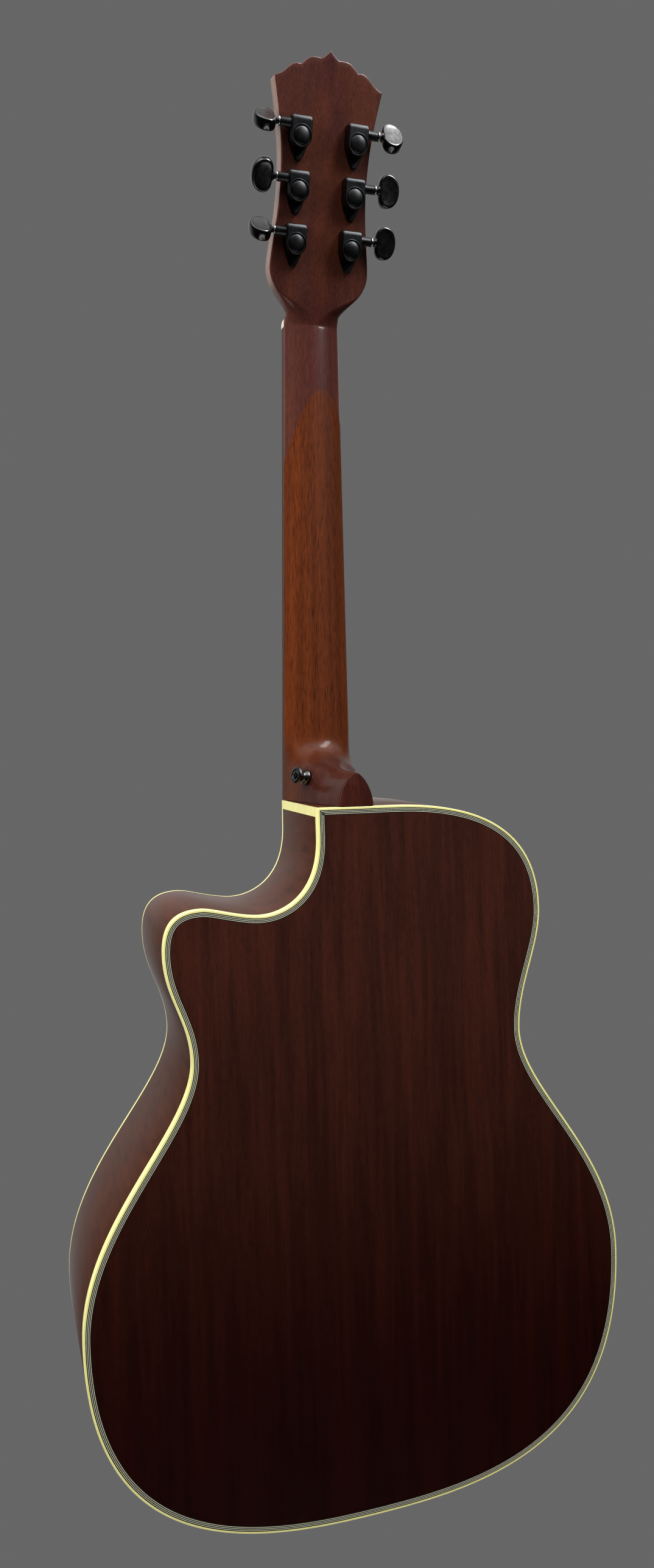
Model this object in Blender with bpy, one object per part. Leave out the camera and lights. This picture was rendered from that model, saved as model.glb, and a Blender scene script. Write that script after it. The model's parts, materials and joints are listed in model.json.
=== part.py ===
"""Acoustic-electric guitar with a rounded cutaway, built as separate pieces.

Sizes are millimetres, and meshes are made in metres. The guitar hangs upright:
+Z runs up the neck to the headstock, the soundboard faces -Y, the back faces +Y,
and +X is the treble (cutaway) side. The origin is where a hanger carries the
headstock. In the body, a height v is measured from the body's top edge, where the
neck joins, and is negative down the body. On the headstock, a point is (x, s, n):
s runs up the tilted headstock from the nut, and n goes back from its front face.
"""
import math

import bmesh
import bpy
import numpy as np
from mathutils import Vector

# General clearances
CLEAR = 0.3            # between pieces that touch
RUN = 0.3              # around turning pieces
HOLE_EASE = 0.1        # more radius for a hole that is drawn with few sides
METRE = 0.001

# Scale and neck
SCALE_LENGTH = 648.0
BODY_FRET = 14
FRET_COUNT = 20
NECK_WIDTH_NUT = 42.8
NECK_WIDTH_BODY = 53.8
NECK_DEPTH_NUT = 14.0
NECK_DEPTH_HEEL = 17.0
HEEL_RISE = 52.0       # height above the body where the shaft starts to deepen
HEEL_TIP = 24.0        # height above the body of the heel's tip, at the back
HEEL_BEND = 2.5        # throat between shaft and tip: 2 is a quarter ellipse, more is tighter
HEEL_REACH = 254.0     # depth at the body of the ridge's curve, behind the back's plane
HEEL_REACH_BEND = 1.6  # how late that curve runs away from the back's plane
HEEL_ARCH_FROM = 20.0  # depth where the heel starts to be an arch below its ridge
HEEL_KEEN_FROM = 56.0  # depth where that arch is as keen as the cap
HEEL_BLEND = 26.0      # depth that each of these two changes takes
HEEL_END_HALF = 12.4   # half width of the heel at the back of the body
HEEL_CAP_THICK = 2.0
FRETBOARD_THICK = 6.3
FRETBOARD_RADIUS = 406.0
FRETBOARD_TAIL = 8.0   # past the last fret
FRET_HEIGHT = 1.0
FRET_WIDTH = 2.4
NUT_THICK = 5.5
NUT_STRING_HEIGHT = 1.5      # string above the fretboard at the nut
SADDLE_STRING_HEIGHT = 5.1   # string above the fretboard's plane at the saddle
TRUSS_ROD_WIDTH = 6.0
TRUSS_ROD_DEPTH = 9.0
TRUSS_ROD_LENGTH = 330.0
HANGER_ABOVE_NUT = 15.5

# Headstock
HEAD_TILT = math.radians(14.2)
HEAD_THICK = 14.3
HEADPLATE_THICK = 1.5
HEAD_PEAK = 181.5
HEAD_CORNER = (40.0, 161.0)
HEAD_WAIST = (32.6, 98.0)
HEAD_HIP = (37.9, 40.0)
HEAD_ROOT = 9.0
HEAD_ROOT_INSET = 0.6          # the root is this much narrower than the nut, on each side
# Handles of the headstock's side curves, as (sideways, along)
HEAD_CORNER_PULL = (4.5, 22.0)
HEAD_WAIST_PULLS = (22.0, 26.0)
HEAD_HIP_PULLS = ((1.0, 16.0), (0.9, 14.0))
HEAD_ROOT_PULL = (3.5, 8.0)
TONGUE = (9.0, 5.0)            # half width of the core's tongue in the neck, and its length
ROD_COVER = ((0.0, 46.0), (5.5, 40.0), (9.0, 26.0), (12.0, 11.5))
ROD_COVER_THICK = 1.6
# Half of the crown, from the centre peak out to the corner: (x, below the peak)
HEAD_CROWN = ((3.7, 3.4), (6.4, 5.2), (10.0, 5.5), (14.2, 5.6), (16.6, 6.3), (18.8, 8.5),
              (21.0, 10.9), (25.0, 10.9), (28.4, 12.5), (32.0, 16.3), (35.2, 18.4))

# Tuners: three posts a side
POST_ROWS = (53.9, 88.6, 123.3)
POST_X = 21.1
POST_RADIUS = 3.0
POST_FRONT = 17.0      # stands in front of the headstock
WINDING_RADIUS = 4.0
WINDING_NEAR = 5.5     # nearest turn, in front of the headstock
WINDING_LENGTH = 3.6
GEAR_TEETH = 14
GEAR_PITCH_RADIUS = 4.9
GEAR_WIDTH = 2.6
WORM_PITCH_RADIUS = 2.8
WORM_LENGTH = 6.8
TOOTH_OUT = 0.4        # tooth above the pitch line, on gear and worm
TOOTH_IN = 0.6         # tooth below the pitch line
THREAD_ROOT = 1.1
THREAD_TIP = 0.45
TOOTH_ROOT = 1.25
TOOTH_TIP = 0.56
DRIVE_HEIGHT = 5.0     # gear and worm above the headstock's back
BUTTON_SHAFT_RADIUS = 1.9
HOUSING_HALF = 7.6
HOUSING_TOP = 13.3
HOUSING_HEIGHT = 9.8
HOUSING_BEVEL = 1.2
HOUSING_CROWN = 0.93   # the top face is this much smaller than the foot
HOUSING_ROUND_STEPS = 8
CAP_RADIUS = 6.8
CAP_DOME = 1.8
LUG_LENGTH = 14.8
LUG_TIP_RADIUS = 2.6
LUG_TIP_LENGTH = 1.6
LUG_TIP_FLAT = 0.8
LUG_HEIGHT = 2.4
LUG_LIFT = 0.1         # the lug sits this much higher than the housing
COLLAR_RADIUS = 3.2
COLLAR_END = 15.4
WASHER_RADIUS = 3.4
WASHER_THICK = 1.0
BUTTON_START = 18.1
BUTTON_LENGTH = 16.6
BUTTON_HALF_WIDTH = 11.5
BUTTON_THICK = 8.0
# How each button was left turned, from string 1 (thin) to string 6 (thick)
BUTTON_TURNS = (52.0, -30.0, 55.0, 38.0, 0.0, -4.0)

# Body outline
BODY_LENGTH = 496.7
DEPTH_NECK = 92.7
DEPTH_TAIL = 117.3
SHOULDER_HALF = 28.9
UPPER_BOUT = (140.6, 79.4)     # half width, and its place below the body's top
WAIST = (121.7, 166.9)
LOWER_BOUT = (198.0, 341.7)
CUTAWAY_START = 20.6
CUTAWAY_LOW = (71.0, 71.8)
HORN_TOP = (111.6, 65.0)
HORN_SIDE = (138.8, 93.8)
# Handles of the outline's curves: how far each curve leaves its end point straight
HOLLOW_DOWN = 42.0
CUTAWAY_PULL = 14.0
HORN_TOP_PULLS = (8.0, 18.0)
HORN_SIDE_PULLS = (21.0, 30.0)
WAIST_UP_TREBLE = 28.0
WAIST_UP_BASS = 32.0
WAIST_DOWN = 46.0
LOWER_BOUT_UP = 77.0
LOWER_BOUT_DOWN = 0.96         # share of the way down to the tail
TAIL_ACROSS = 0.4              # share of the lower bout's half width
BOUT_PULLS = (28.0, 38.0)
SHOULDER_PULL = 92.0

# Plates, sides and what is glued inside
TOP_THICK = 3.0
BACK_THICK = 2.8
SIDE_THICK = 2.4
BINDING_THICK = 1.5
BINDING_HEIGHT = 6.0
TOP_BINDING_HEIGHT = 3.0
PURFLING_WIDTH = 3.3
CORNER_STRIP = 6.5
LINING_WIDTH = 6.0
LINING_HEIGHT = 12.0
NECK_BLOCK_LENGTH = 45.0
TAIL_BLOCK_HALF = 38.0
TAIL_BLOCK_LENGTH = 22.0
SOUNDHOLE_RADIUS = 50.0
SOUNDHOLE_BELOW_BOARD = 8.0
BRACE_WIDTH = 8.0
BRACE_HEIGHT = 14.0
BRACE_BELOW_HOLE = 35.0
BRACE_BAR_GAP = 1.5            # between the soundhole's edge and the cross bar
BRACE_LOW_INSET = 42.0         # a leg's lower end, in from the lining
TONE_BAR_DOWN = 44.0           # tone bar's start below the saddle
TONE_BAR_LOW = 26.0            # and its end below the legs
TONE_BAR_SHARE = 0.45
LADDER_SHARES = (0.14, 0.34, 0.58, 0.82)
BRACE_EDGE = 0.6               # a brace's free edge is this much of its width
BLOCK_GAP = 3.0                # between a brace and a block
BACK_BRACE_WIDTH = 8.0
BACK_BRACE_HEIGHT = 12.0
BACK_STRIP_WIDTH = 12.0
BACK_STRIP_THICK = 2.5
STRIP_PROUD = 0.2      # the centre strip stands this much proud of the ladder braces

# Bridge and strings
BRIDGE_HALF = 76.0
BRIDGE_WING = 13.0     # half height of a wing
BRIDGE_BELLY = 8.0     # the middle's lower edge hangs this much below the wings
BRIDGE_THICK = 8.4
BRIDGE_WING_THICK = 5.0
BRIDGE_DROP = 3.0      # the wings' middle line below the saddle's
BRIDGE_EDGE = 1.0      # height of the bevel round the bridge's top
BRIDGE_BEVEL = 1.5     # and its width
PIN_BELOW_SADDLE = 13.0
SADDLE_LENGTH = 73.0
SADDLE_THICK = 3.0
SADDLE_SEAT = 6.0      # slot depth in the bridge
SADDLE_SLANT = math.radians(2.2)
PICKUP_THICK = 1.6
BRIDGE_PLATE_THICK = 2.5
BRIDGE_PLATE_UP = 8.0
BRIDGE_PLATE_DOWN = 22.0
BRIDGE_PLATE_GAP = 1.5
STRING_SPREAD_NUT = 36.0
STRING_SPREAD_BRIDGE = 54.0
STRING_RADII = (0.15, 0.20, 0.31, 0.41, 0.53, 0.67)

# Strap buttons and jack
STRAP_UP = 18.8        # heel strap button above the body
STRAP_DEPTH = 37.0     # and behind the soundboard
STRAP_FLANGE = 6.3
STRAP_LENGTH = 11.5
STRAP_SCREW_RADIUS = 1.9
STRAP_SCREW_LENGTH = 15.0
STRAP_SCREW_HEAD = 3.4
STRAP_BASE = 4.6
STRAP_WAIST = 3.4
SEAT = 0.2             # gap under a turned fitting's foot, over the clearance
JACK_BARREL = 5.9
JACK_BORE = 3.3
JACK_OUT = 12.0
JACK_IN = 34.0
JACK_FOOT = 8.6
JACK_NECK = 6.2
JACK_FLANGE = 7.8
JACK_NUT_RADIUS = 9.0
JACK_NUT_THICK = 3.0

# Preamp on the bass side
PREAMP_DOWN = 118.0
BEZEL_LENGTH = 70.0
BEZEL_WIDTH = 46.0
BEZEL_THICK = 2.0
BEZEL_SEAT = 1.0
PREAMP_BOX_LENGTH = 56.0
PREAMP_BOX_WIDTH = 34.0
BATTERY = (17.5, 26.5, 48.5)
BATTERY_ROOM = 0.5
BAY_WALL = 2.0
BOX_ROOM = 0.5         # round the preamp's box in the side's opening
BATTERY_OFFSET = -16.0
DOOR_THICK = 1.5
DOOR_LIP = 1.2
KNOB_PLACES = (3.5, 20.0)
KNOB_RADIUS = 6.2
KNOB_HEIGHT = 8.0
KNOB_SHAFT_RADIUS = 3.0
KNOB_SHAFT_LENGTH = 7.0

# Places worked out from the sizes above
NUT_UP = SCALE_LENGTH * (1 - 2 ** (-BODY_FRET / 12))     # nut above the body's top
BODY_TOP_Z = -HANGER_ABOVE_NUT - NUT_UP
BACK_SLOPE = (DEPTH_TAIL - DEPTH_NECK) / BODY_LENGTH
BOARD_BOTTOM = -CLEAR
BOARD_FACE = BOARD_BOTTOM - FRETBOARD_THICK
BOARD_END = NUT_UP - SCALE_LENGTH * (1 - 2 ** (-FRET_COUNT / 12)) - FRETBOARD_TAIL
SOUNDHOLE_V = BOARD_END - SOUNDHOLE_BELOW_BOARD - SOUNDHOLE_RADIUS
SADDLE_V = NUT_UP - SCALE_LENGTH - 2.0
WORM_OFFSET = GEAR_PITCH_RADIUS + WORM_PITCH_RADIUS
CIRCULAR_PITCH = 2 * math.pi * GEAR_PITCH_RADIUS / GEAR_TEETH
SADDLE_TOP = BOARD_FACE - SADDLE_STRING_HEIGHT + CLEAR
PLATE_INSET = BINDING_THICK + CLEAR
BACK_PLATE_INSET = PLATE_INSET + PURFLING_WIDTH + CLEAR
SIDE_INNER = SIDE_THICK + CLEAR
POST_HOLE = POST_RADIUS + RUN + HOLE_EASE

# name: colour, roughness, metallic
FINISHES = {
    "body_mahogany": ((0.045, 0.014, 0.010), 0.28, 0.0),
    "side_mahogany": ((0.09, 0.045, 0.035), 0.30, 0.0),
    "neck_mahogany": ((0.14, 0.05, 0.025), 0.45, 0.0),
    "spruce": ((0.72, 0.50, 0.28), 0.45, 0.0),
    "inner_wood": ((0.55, 0.38, 0.22), 0.7, 0.0),
    "cream_binding": ((0.72, 0.66, 0.50), 0.4, 0.0),
    "purfling": ((0.25, 0.25, 0.2), 0.4, 0.0),
    "rosewood": ((0.06, 0.03, 0.02), 0.5, 0.0),
    "bone": ((0.85, 0.82, 0.72), 0.4, 0.0),
    "black_metal": ((0.02, 0.02, 0.02), 0.35, 0.8),
    "black_plastic": ((0.01, 0.01, 0.01), 0.3, 0.0),
    "steel": ((0.6, 0.6, 0.6), 0.3, 1.0),
    "bronze": ((0.7, 0.5, 0.25), 0.3, 1.0),
    "battery_case": ((0.1, 0.1, 0.11), 0.5, 0.0),
}


def clear_scene():
    """Remove every object, so that the script can run again."""
    for obj in list(bpy.data.objects):
        bpy.data.objects.remove(obj, do_unlink=True)


def finish_material(node, finish):
    """One Principled material for one piece."""
    colour, roughness, metallic = FINISHES[finish]
    material = bpy.data.materials.new(node + "_finish")
    material.use_nodes = True
    shader = material.node_tree.nodes["Principled BSDF"]
    shader.inputs["Base Color"].default_value = (*colour, 1.0)
    shader.inputs["Roughness"].default_value = roughness
    shader.inputs["Metallic"].default_value = metallic
    return material


def make_object(name, shape, finish=None, origin=(0.0, 0.0, 0.0), sharp=35.0):
    """Turn a shape (points in millimetres, faces) into an object with outward faces."""
    points, faces = shape
    centre = np.asarray(origin, float)
    mesh = bpy.data.meshes.new(name)
    local = (np.asarray(points, float) - centre) * METRE
    mesh.from_pydata([tuple(p) for p in local], [], [tuple(f) for f in faces])
    grid = bmesh.new()
    grid.from_mesh(mesh)
    bmesh.ops.remove_doubles(grid, verts=grid.verts, dist=0.00001)
    bmesh.ops.recalc_face_normals(grid, faces=grid.faces)
    grid.to_mesh(mesh)
    grid.free()
    mesh.shade_smooth()
    mesh.set_sharp_from_angle(angle=math.radians(sharp))
    obj = bpy.data.objects.new(name, mesh)
    obj.location = Vector(centre * METRE)
    bpy.context.collection.objects.link(obj)
    if finish:
        mesh.materials.append(finish_material(name, finish))
    return obj


def boolean(obj, shape, operation, label):
    """Cut a shape away from an object, or join it on, with a live modifier."""
    tool = make_object(obj.name + "_" + label, shape)
    tool.hide_render = True
    tool.display_type = "WIRE"
    modifier = obj.modifiers.new(label, "BOOLEAN")
    modifier.solver = "EXACT"
    modifier.operation = operation
    modifier.object = tool
    return obj


def cut(obj, shape, label):
    return boolean(obj, shape, "DIFFERENCE", label)


def join(obj, shape, label):
    return boolean(obj, shape, "UNION", label)


# Frames: functions that take local points to the guitar's own axes

def body_point(x, y, v):
    """A point of the body or neck at height v above the body's top edge."""
    return np.array([x, y, v + BODY_TOP_Z])


def head_point(x, s, n):
    """A point of the tilted headstock: s up from the nut, n back from its front."""
    y = s * math.sin(HEAD_TILT) + n * math.cos(HEAD_TILT)
    v = NUT_UP + s * math.cos(HEAD_TILT) - n * math.sin(HEAD_TILT)
    return body_point(x, y, v)


def back_y(v):
    """The back's outer plane, which is deeper at the tail."""
    return DEPTH_NECK - BACK_SLOPE * v


# Basic shapes

def block(x0, x1, y0, y1, z0, z1, place=None):
    """A box, through an optional frame."""
    corners = [(x, y, z) for x in (x0, x1) for y in (y0, y1) for z in (z0, z1)]
    points = [place(*c) if place else np.array(c) for c in corners]
    faces = [(0, 1, 3, 2), (4, 6, 7, 5), (0, 4, 5, 1), (2, 3, 7, 6), (0, 2, 6, 4), (1, 5, 7, 3)]
    return points, faces


def loft(rings, closed=False):
    """Join equal rings of points into a closed skin, with a cap at each end."""
    count = len(rings[0])
    points = [p for ring in rings for p in ring]
    faces = []
    last = len(rings) if closed else len(rings) - 1
    for i in range(last):
        k = (i + 1) % len(rings)
        for j in range(count):
            m = (j + 1) % count
            faces.append((i * count + j, k * count + j, k * count + m, i * count + m))
    if not closed:
        faces.append(tuple(range(count)))
        faces.append(tuple(range((len(rings) - 1) * count, len(rings) * count)))
    return points, faces


def prism(outline, low, high, place):
    """A flat outline given a thickness along the frame's third axis."""
    return loft([[place(a, b, level) for a, b in outline] for level in (low, high)])


def circle(radius, steps, centre=(0.0, 0.0)):
    """Points of a circle, as seen along its axis."""
    turns = [2 * math.pi * i / steps for i in range(steps)]
    return [(centre[0] + radius * math.cos(t), centre[1] + radius * math.sin(t)) for t in turns]


def turned(profile, steps, place):
    """A solid of revolution: profile of (along, radius) from one end to the other."""
    rings = []
    for along, radius in profile:
        rings.append([place(a, b, along) for a, b in circle(radius, steps)])
    return loft(rings)


def turned_ring(profile, steps, place):
    """A bored solid of revolution: a closed profile of (along, radius)."""
    rings = []
    for i in range(steps):
        turn = 2 * math.pi * i / steps
        ring = [place(r * math.cos(turn), r * math.sin(turn), along) for along, r in profile]
        rings.append(ring)
    return loft(rings, closed=True)


def axis_frame(origin, axis, across):
    """Frame for turned pieces: third axis along the axis, first one along across."""
    w = np.asarray(axis, float) / np.linalg.norm(axis)
    u = np.asarray(across, float)
    u = u - w * np.dot(u, w)
    u = u / np.linalg.norm(u)
    v = np.cross(w, u)
    start = np.asarray(origin, float)
    return lambda a, b, c: start + u * a + v * b + w * c


def zip_loops(first, second):
    """Triangles between two rows of (key, index), always stepping to the lower key."""
    faces = []
    a = 0
    b = 0
    while a < len(first) - 1 or b < len(second) - 1:
        step_a = a < len(first) - 1
        if step_a and b < len(second) - 1:
            step_a = first[a + 1][0] <= second[b + 1][0]
        if step_a:
            faces.append((first[a][1], first[a + 1][1], second[b][1]))
            a += 1
        else:
            faces.append((first[a][1], second[b + 1][1], second[b][1]))
            b += 1
    return faces


def bezier(p0, p1, p2, p3, steps):
    """Points of a cubic curve, without its last point."""
    t = np.arange(steps)[:, None] / steps
    a, b, c, d = (np.array(p, float) for p in (p0, p1, p2, p3))
    return (1 - t) ** 3 * a + 3 * (1 - t) ** 2 * t * b + 3 * (1 - t) * t ** 2 * c + t ** 3 * d


# Body outline, clockwise from the treble shoulder corner, as (x, v)

def lower_half():
    """Waist to tail on the treble side."""
    waist_x, waist_v = WAIST
    low_x, low_v = LOWER_BOUT
    flank = bezier((waist_x, -waist_v), (waist_x, -waist_v - WAIST_DOWN),
                   (low_x, LOWER_BOUT_UP - low_v), (low_x, -low_v), 9)
    tail = bezier((low_x, -low_v), (low_x, -low_v - LOWER_BOUT_DOWN * (BODY_LENGTH - low_v)),
                  (TAIL_ACROSS * low_x, -BODY_LENGTH), (0, -BODY_LENGTH), 12)
    return np.vstack([flank, tail])


def body_outline():
    """The whole outline, and the index of the tail's centre point."""
    waist_x, waist_v = WAIST
    cut_x, cut_v = CUTAWAY_LOW
    top_x, top_v = HORN_TOP
    side_x, side_v = HORN_SIDE
    bout_x, bout_v = UPPER_BOUT
    corner = SHOULDER_HALF
    straight = [(corner, 0.0), (corner, -CORNER_STRIP - CLEAR)]
    hollow = bezier((corner, -CUTAWAY_START), (corner, -CUTAWAY_START - HOLLOW_DOWN),
                    (cut_x - CUTAWAY_PULL, -cut_v), (cut_x, -cut_v), 8)
    rise = bezier((cut_x, -cut_v), (cut_x + CUTAWAY_PULL, -cut_v),
                  (top_x - HORN_TOP_PULLS[0], -top_v), (top_x, -top_v), 4)
    horn = bezier((top_x, -top_v), (top_x + HORN_TOP_PULLS[1], -top_v),
                  (side_x, HORN_SIDE_PULLS[0] - side_v), (side_x, -side_v), 6)
    flank = bezier((side_x, -side_v), (side_x, -side_v - HORN_SIDE_PULLS[1]),
                   (waist_x, WAIST_UP_TREBLE - waist_v), (waist_x, -waist_v), 5)
    lower = lower_half()
    mirrored = (lower * np.array([-1, 1]))[::-1]
    upper = bezier((-waist_x, -waist_v), (-waist_x, WAIST_UP_BASS - waist_v),
                   (-bout_x, -bout_v - BOUT_PULLS[0]), (-bout_x, -bout_v), 5)
    bass = bezier((-bout_x, -bout_v), (-bout_x, BOUT_PULLS[1] - bout_v),
                  (-corner - SHOULDER_PULL, 0), (-corner, 0), 10)
    last = [(-corner, 0.0), (0.0, 0.0)]
    treble = np.vstack([straight, hollow, rise, horn, flank, lower])
    tail_index = len(treble)
    loop = np.vstack([treble, [(0.0, -BODY_LENGTH)], mirrored[:-1], upper, bass, last])
    return loop, tail_index


def mitres(path, closed):
    """Outward mitred normals of a clockwise path."""
    n = len(path)
    step = np.roll(path, -1, axis=0) - path
    length = np.maximum(np.linalg.norm(step, axis=1), 1e-9)
    normal = np.stack([-step[:, 1] / length, step[:, 0] / length], 1)
    before = np.roll(normal, 1, axis=0)
    if not closed:
        before[0] = normal[0]
        normal[n - 1] = before[n - 1]
    joined = before + normal
    return joined / (1 + (before * normal).sum(axis=1))[:, None]


def inset(path, distance, closed=True):
    return path - mitres(path, closed) * distance


def band(path, section, closed):
    """Sweep a section along the outline. A section point is (inset, plane, depth):
    depth is measured in from the front plane ("front") or the back plane ("back")."""
    normals = mitres(path, closed)
    rings = []
    for (x, v), (nx, nv) in zip(path, normals):
        ring = []
        for inside, plane, depth in section:
            px = x - nx * inside
            pv = v - nv * inside
            y = depth if plane == "front" else back_y(pv) - depth
            ring.append(body_point(px, y, pv))
        rings.append(ring)
    return loft(rings, closed)


def plate(outline, front, back):
    """A flat plate between two heights, each a function of v."""
    rings = []
    for level in (front, back):
        rings.append([body_point(x, level(v), v) for x, v in outline])
    return loft(rings)


def clip_start(path, keep):
    """Drop leading points until keep(point) holds, and start exactly at the change."""
    i = 0
    while not keep(path[i + 1]):
        i += 1
    low, high = 0.0, 1.0
    for _ in range(30):
        middle = (low + high) / 2
        if keep(path[i] + (path[i + 1] - path[i]) * middle):
            high = middle
        else:
            low = middle
    start = path[i] + (path[i + 1] - path[i]) * high
    rest = path[i + 1:]
    if np.linalg.norm(rest[0] - start) < 1.0:
        rest = rest[1:]
    return np.vstack([[start], rest])


def clip_both(path, keep_start, keep_end):
    return clip_start(clip_start(path, keep_start)[::-1], keep_end)[::-1]


OUTLINE, TAIL = body_outline()
TREBLE_PATH = OUTLINE[:TAIL + 1]
BASS_PATH = np.vstack([OUTLINE[TAIL:], OUTLINE[:1]])


def flank_point(down):
    """A point on the bass flank this far down, with its outward and upward directions."""
    path = OUTLINE[TAIL:]
    above = path[(path[:, 1] > -WAIST[1]) & (path[:, 1] < -UPPER_BOUT[1])]
    order = np.argsort(above[:, 1])
    half = 0.4 * BEZEL_LENGTH
    heights = (-down - half, -down, -down + half)
    x_low, x_mid, x_high = np.interp(heights, above[order, 1], above[order, 0])
    along = np.array([x_high - x_low, 0.0, 2 * half])
    along = along / np.linalg.norm(along)
    outward = np.array([-along[2], 0.0, along[0]])
    x = min(x_mid, (x_low + x_high) / 2)
    return body_point(x, 0.0, -down), outward, along


# Neck

def neck_width(v):
    return NECK_WIDTH_BODY + (NECK_WIDTH_NUT - NECK_WIDTH_BODY) * v / NUT_UP


def ridge_depth(v):
    """Depth of the neck's ridge: a thin shaft, then a tight throat out to the heel's tip.

    Below the tip the ridge's curve runs on behind the back's plane, where the cap cuts
    the heel off, and its depth sets how full the heel's sides are.
    """
    shaft = NECK_DEPTH_HEEL + (NECK_DEPTH_NUT - NECK_DEPTH_HEEL) * max(v, 0) / NUT_UP
    if v >= HEEL_RISE:
        return shaft
    tip = back_y(HEEL_TIP)
    if v < HEEL_TIP:
        return tip + (HEEL_REACH - tip) * (1 - v / HEEL_TIP) ** HEEL_REACH_BEND
    t = (HEEL_RISE - v) / (HEEL_RISE - HEEL_TIP)
    return shaft + (tip - shaft) * (1 - (1 - t ** HEEL_BEND) ** (1 / HEEL_BEND))


def throat_heights(steps=8):
    """Heights from the heel's tip up to the shaft, evenly spaced round the throat's curve."""
    turns = [math.pi / 2 * (1 - i / steps) for i in range(steps + 1)]
    return [HEEL_RISE - (HEEL_RISE - HEEL_TIP) * math.sin(turn) ** (2 / HEEL_BEND) for turn in turns]


def ease(t):
    """Smooth step from 0 to 1."""
    t = min(1.0, max(0.0, t))
    return t * t * (3 - 2 * t)


def ridge_height(y):
    """Height of the throat's ridge at a depth: ridge_depth turned round."""
    left = 1 - min(1.0, max(0.0, (y - NECK_DEPTH_HEEL) / (back_y(HEEL_TIP) - NECK_DEPTH_HEEL)))
    return HEEL_RISE - (HEEL_RISE - HEEL_TIP) * (1 - left ** HEEL_BEND) ** (1 / HEEL_BEND)


def neck_half(v, y):
    """Half width of the neck at a height and a depth.

    The shaft and the throat close on their ridge. Deeper down, from HEEL_ARCH_FROM on,
    the heel is an arch below the ridge: square beside the strap button and keen at the cap.
    """
    share = min(1.0, max(0.0, y / DEPTH_NECK))
    full = neck_width(v) / 2 * (1 - share) + HEEL_END_HALF * share
    fullness = 2.1 + 0.9 * min(1.0, max(0.0, (HEEL_RISE - v) / HEEL_RISE))
    inside = 1 - (min(y, ridge_depth(v)) / ridge_depth(v)) ** fullness
    square = ease((HEEL_KEEN_FROM - y) / HEEL_BLEND)
    below = max(0.0, 1 - (v / ridge_height(y)) ** (1.8 + 2.4 * square))
    arch = below ** (0.65 - 0.37 * square)
    deep = ease((y - HEEL_ARCH_FROM) / HEEL_BLEND)
    return full * math.sqrt(max(0.0, inside)) ** (1 - deep) * arch ** deep


def cap_underside(v):
    return back_y(v) - HEEL_CAP_THICK - CLEAR


def neck_section(v, steps=8):
    """One rung of the neck: down the treble side, over the ridge, up the bass side."""
    ridge = min(ridge_depth(v), cap_underside(v))
    flat = ridge_depth(v) > cap_underside(v)
    side = []
    for i in range(steps):
        turn = i / (steps - (1 if flat else 0.35))
        y = ridge * math.sin(turn * math.pi / 2)
        side.append((neck_half(v, y), y))
    treble = [body_point(x, y, v) for x, y in side]
    bass = [body_point(-x, y, v) for x, y in reversed(side)]
    return treble + [body_point(0, ridge, v)] + bass


def head_side():
    """Half outline of the headstock from the crown's corner down to its root."""
    corner_x, corner_s = HEAD_CORNER
    waist_x, waist_s = HEAD_WAIST
    hip_x, hip_s = HEAD_HIP
    root_x = NECK_WIDTH_NUT / 2 - HEAD_ROOT_INSET
    above_waist, below_waist = HEAD_WAIST_PULLS
    above_hip, below_hip = HEAD_HIP_PULLS
    upper = bezier((corner_x, corner_s), (corner_x - HEAD_CORNER_PULL[0], corner_s - HEAD_CORNER_PULL[1]),
                   (waist_x, waist_s + above_waist), (waist_x, waist_s), 6)
    lower = bezier((waist_x, waist_s), (waist_x, waist_s - below_waist),
                   (hip_x - above_hip[0], hip_s + above_hip[1]), (hip_x, hip_s), 6)
    root = bezier((hip_x, hip_s), (hip_x + below_hip[0], hip_s - below_hip[1]),
                  (NECK_WIDTH_NUT / 2 + HEAD_ROOT_PULL[0], HEAD_ROOT + HEAD_ROOT_PULL[1]),
                  (root_x, HEAD_ROOT), 7)
    return [tuple(p) for p in np.vstack([upper, lower, root])] + [(root_x, HEAD_ROOT)]


def head_half():
    crown = [(0.0, HEAD_PEAK)] + [(x, HEAD_PEAK - down) for x, down in HEAD_CROWN]
    return crown + head_side()


def mirrored_outline(half):
    """Close a half outline that starts on the centre line."""
    other = [(-x, s) for x, s in reversed(half) if x > 0.001]
    return half + other


def build_neck():
    """Shaft and heel lofted in one skin, with the headstock's core joined on."""
    foot = [CLEAR + (HEEL_TIP - CLEAR) * f for f in (0.0, 0.2, 0.45, 0.7, 0.85, 0.94, 0.99)]
    heel = foot + throat_heights()[1:]
    shaft = [HEEL_RISE + (NUT_UP - HEEL_RISE) * f for f in (0.2, 0.5, 0.8, 1.0)]
    stations = heel + shaft + [NUT_UP + NUT_THICK]
    shape = loft([neck_section(v) for v in stations])
    neck = make_object("neck", shape, "neck_mahogany")
    tongue = [(TONGUE[0], -TONGUE[1])]
    core = mirrored_outline(head_half() + tongue)
    front = HEADPLATE_THICK + CLEAR
    join(neck, prism(core, front, HEAD_THICK, head_point), "head_core")
    channel = block(-TRUSS_ROD_WIDTH / 2 - CLEAR, TRUSS_ROD_WIDTH / 2 + CLEAR, -5,
                    TRUSS_ROD_DEPTH + CLEAR, NUT_UP - TRUSS_ROD_LENGTH, NUT_UP - CLEAR, body_point)
    cut(neck, channel, "rod_channel")
    for number, x, s in post_places():
        hole = turned([(-5, POST_HOLE), (HEAD_THICK + 5, POST_HOLE)], 12,
                      lambda a, b, c, x=x, s=s: head_point(x + a, s + b, c))
        cut(neck, hole, "post_hole_%d" % number)
    cut(neck, turned([(-STRAP_SCREW_LENGTH - 2, STRAP_SCREW_RADIUS + CLEAR), (6, STRAP_SCREW_RADIUS + CLEAR)],
                     10, strap_frame()), "strap_hole")


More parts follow.
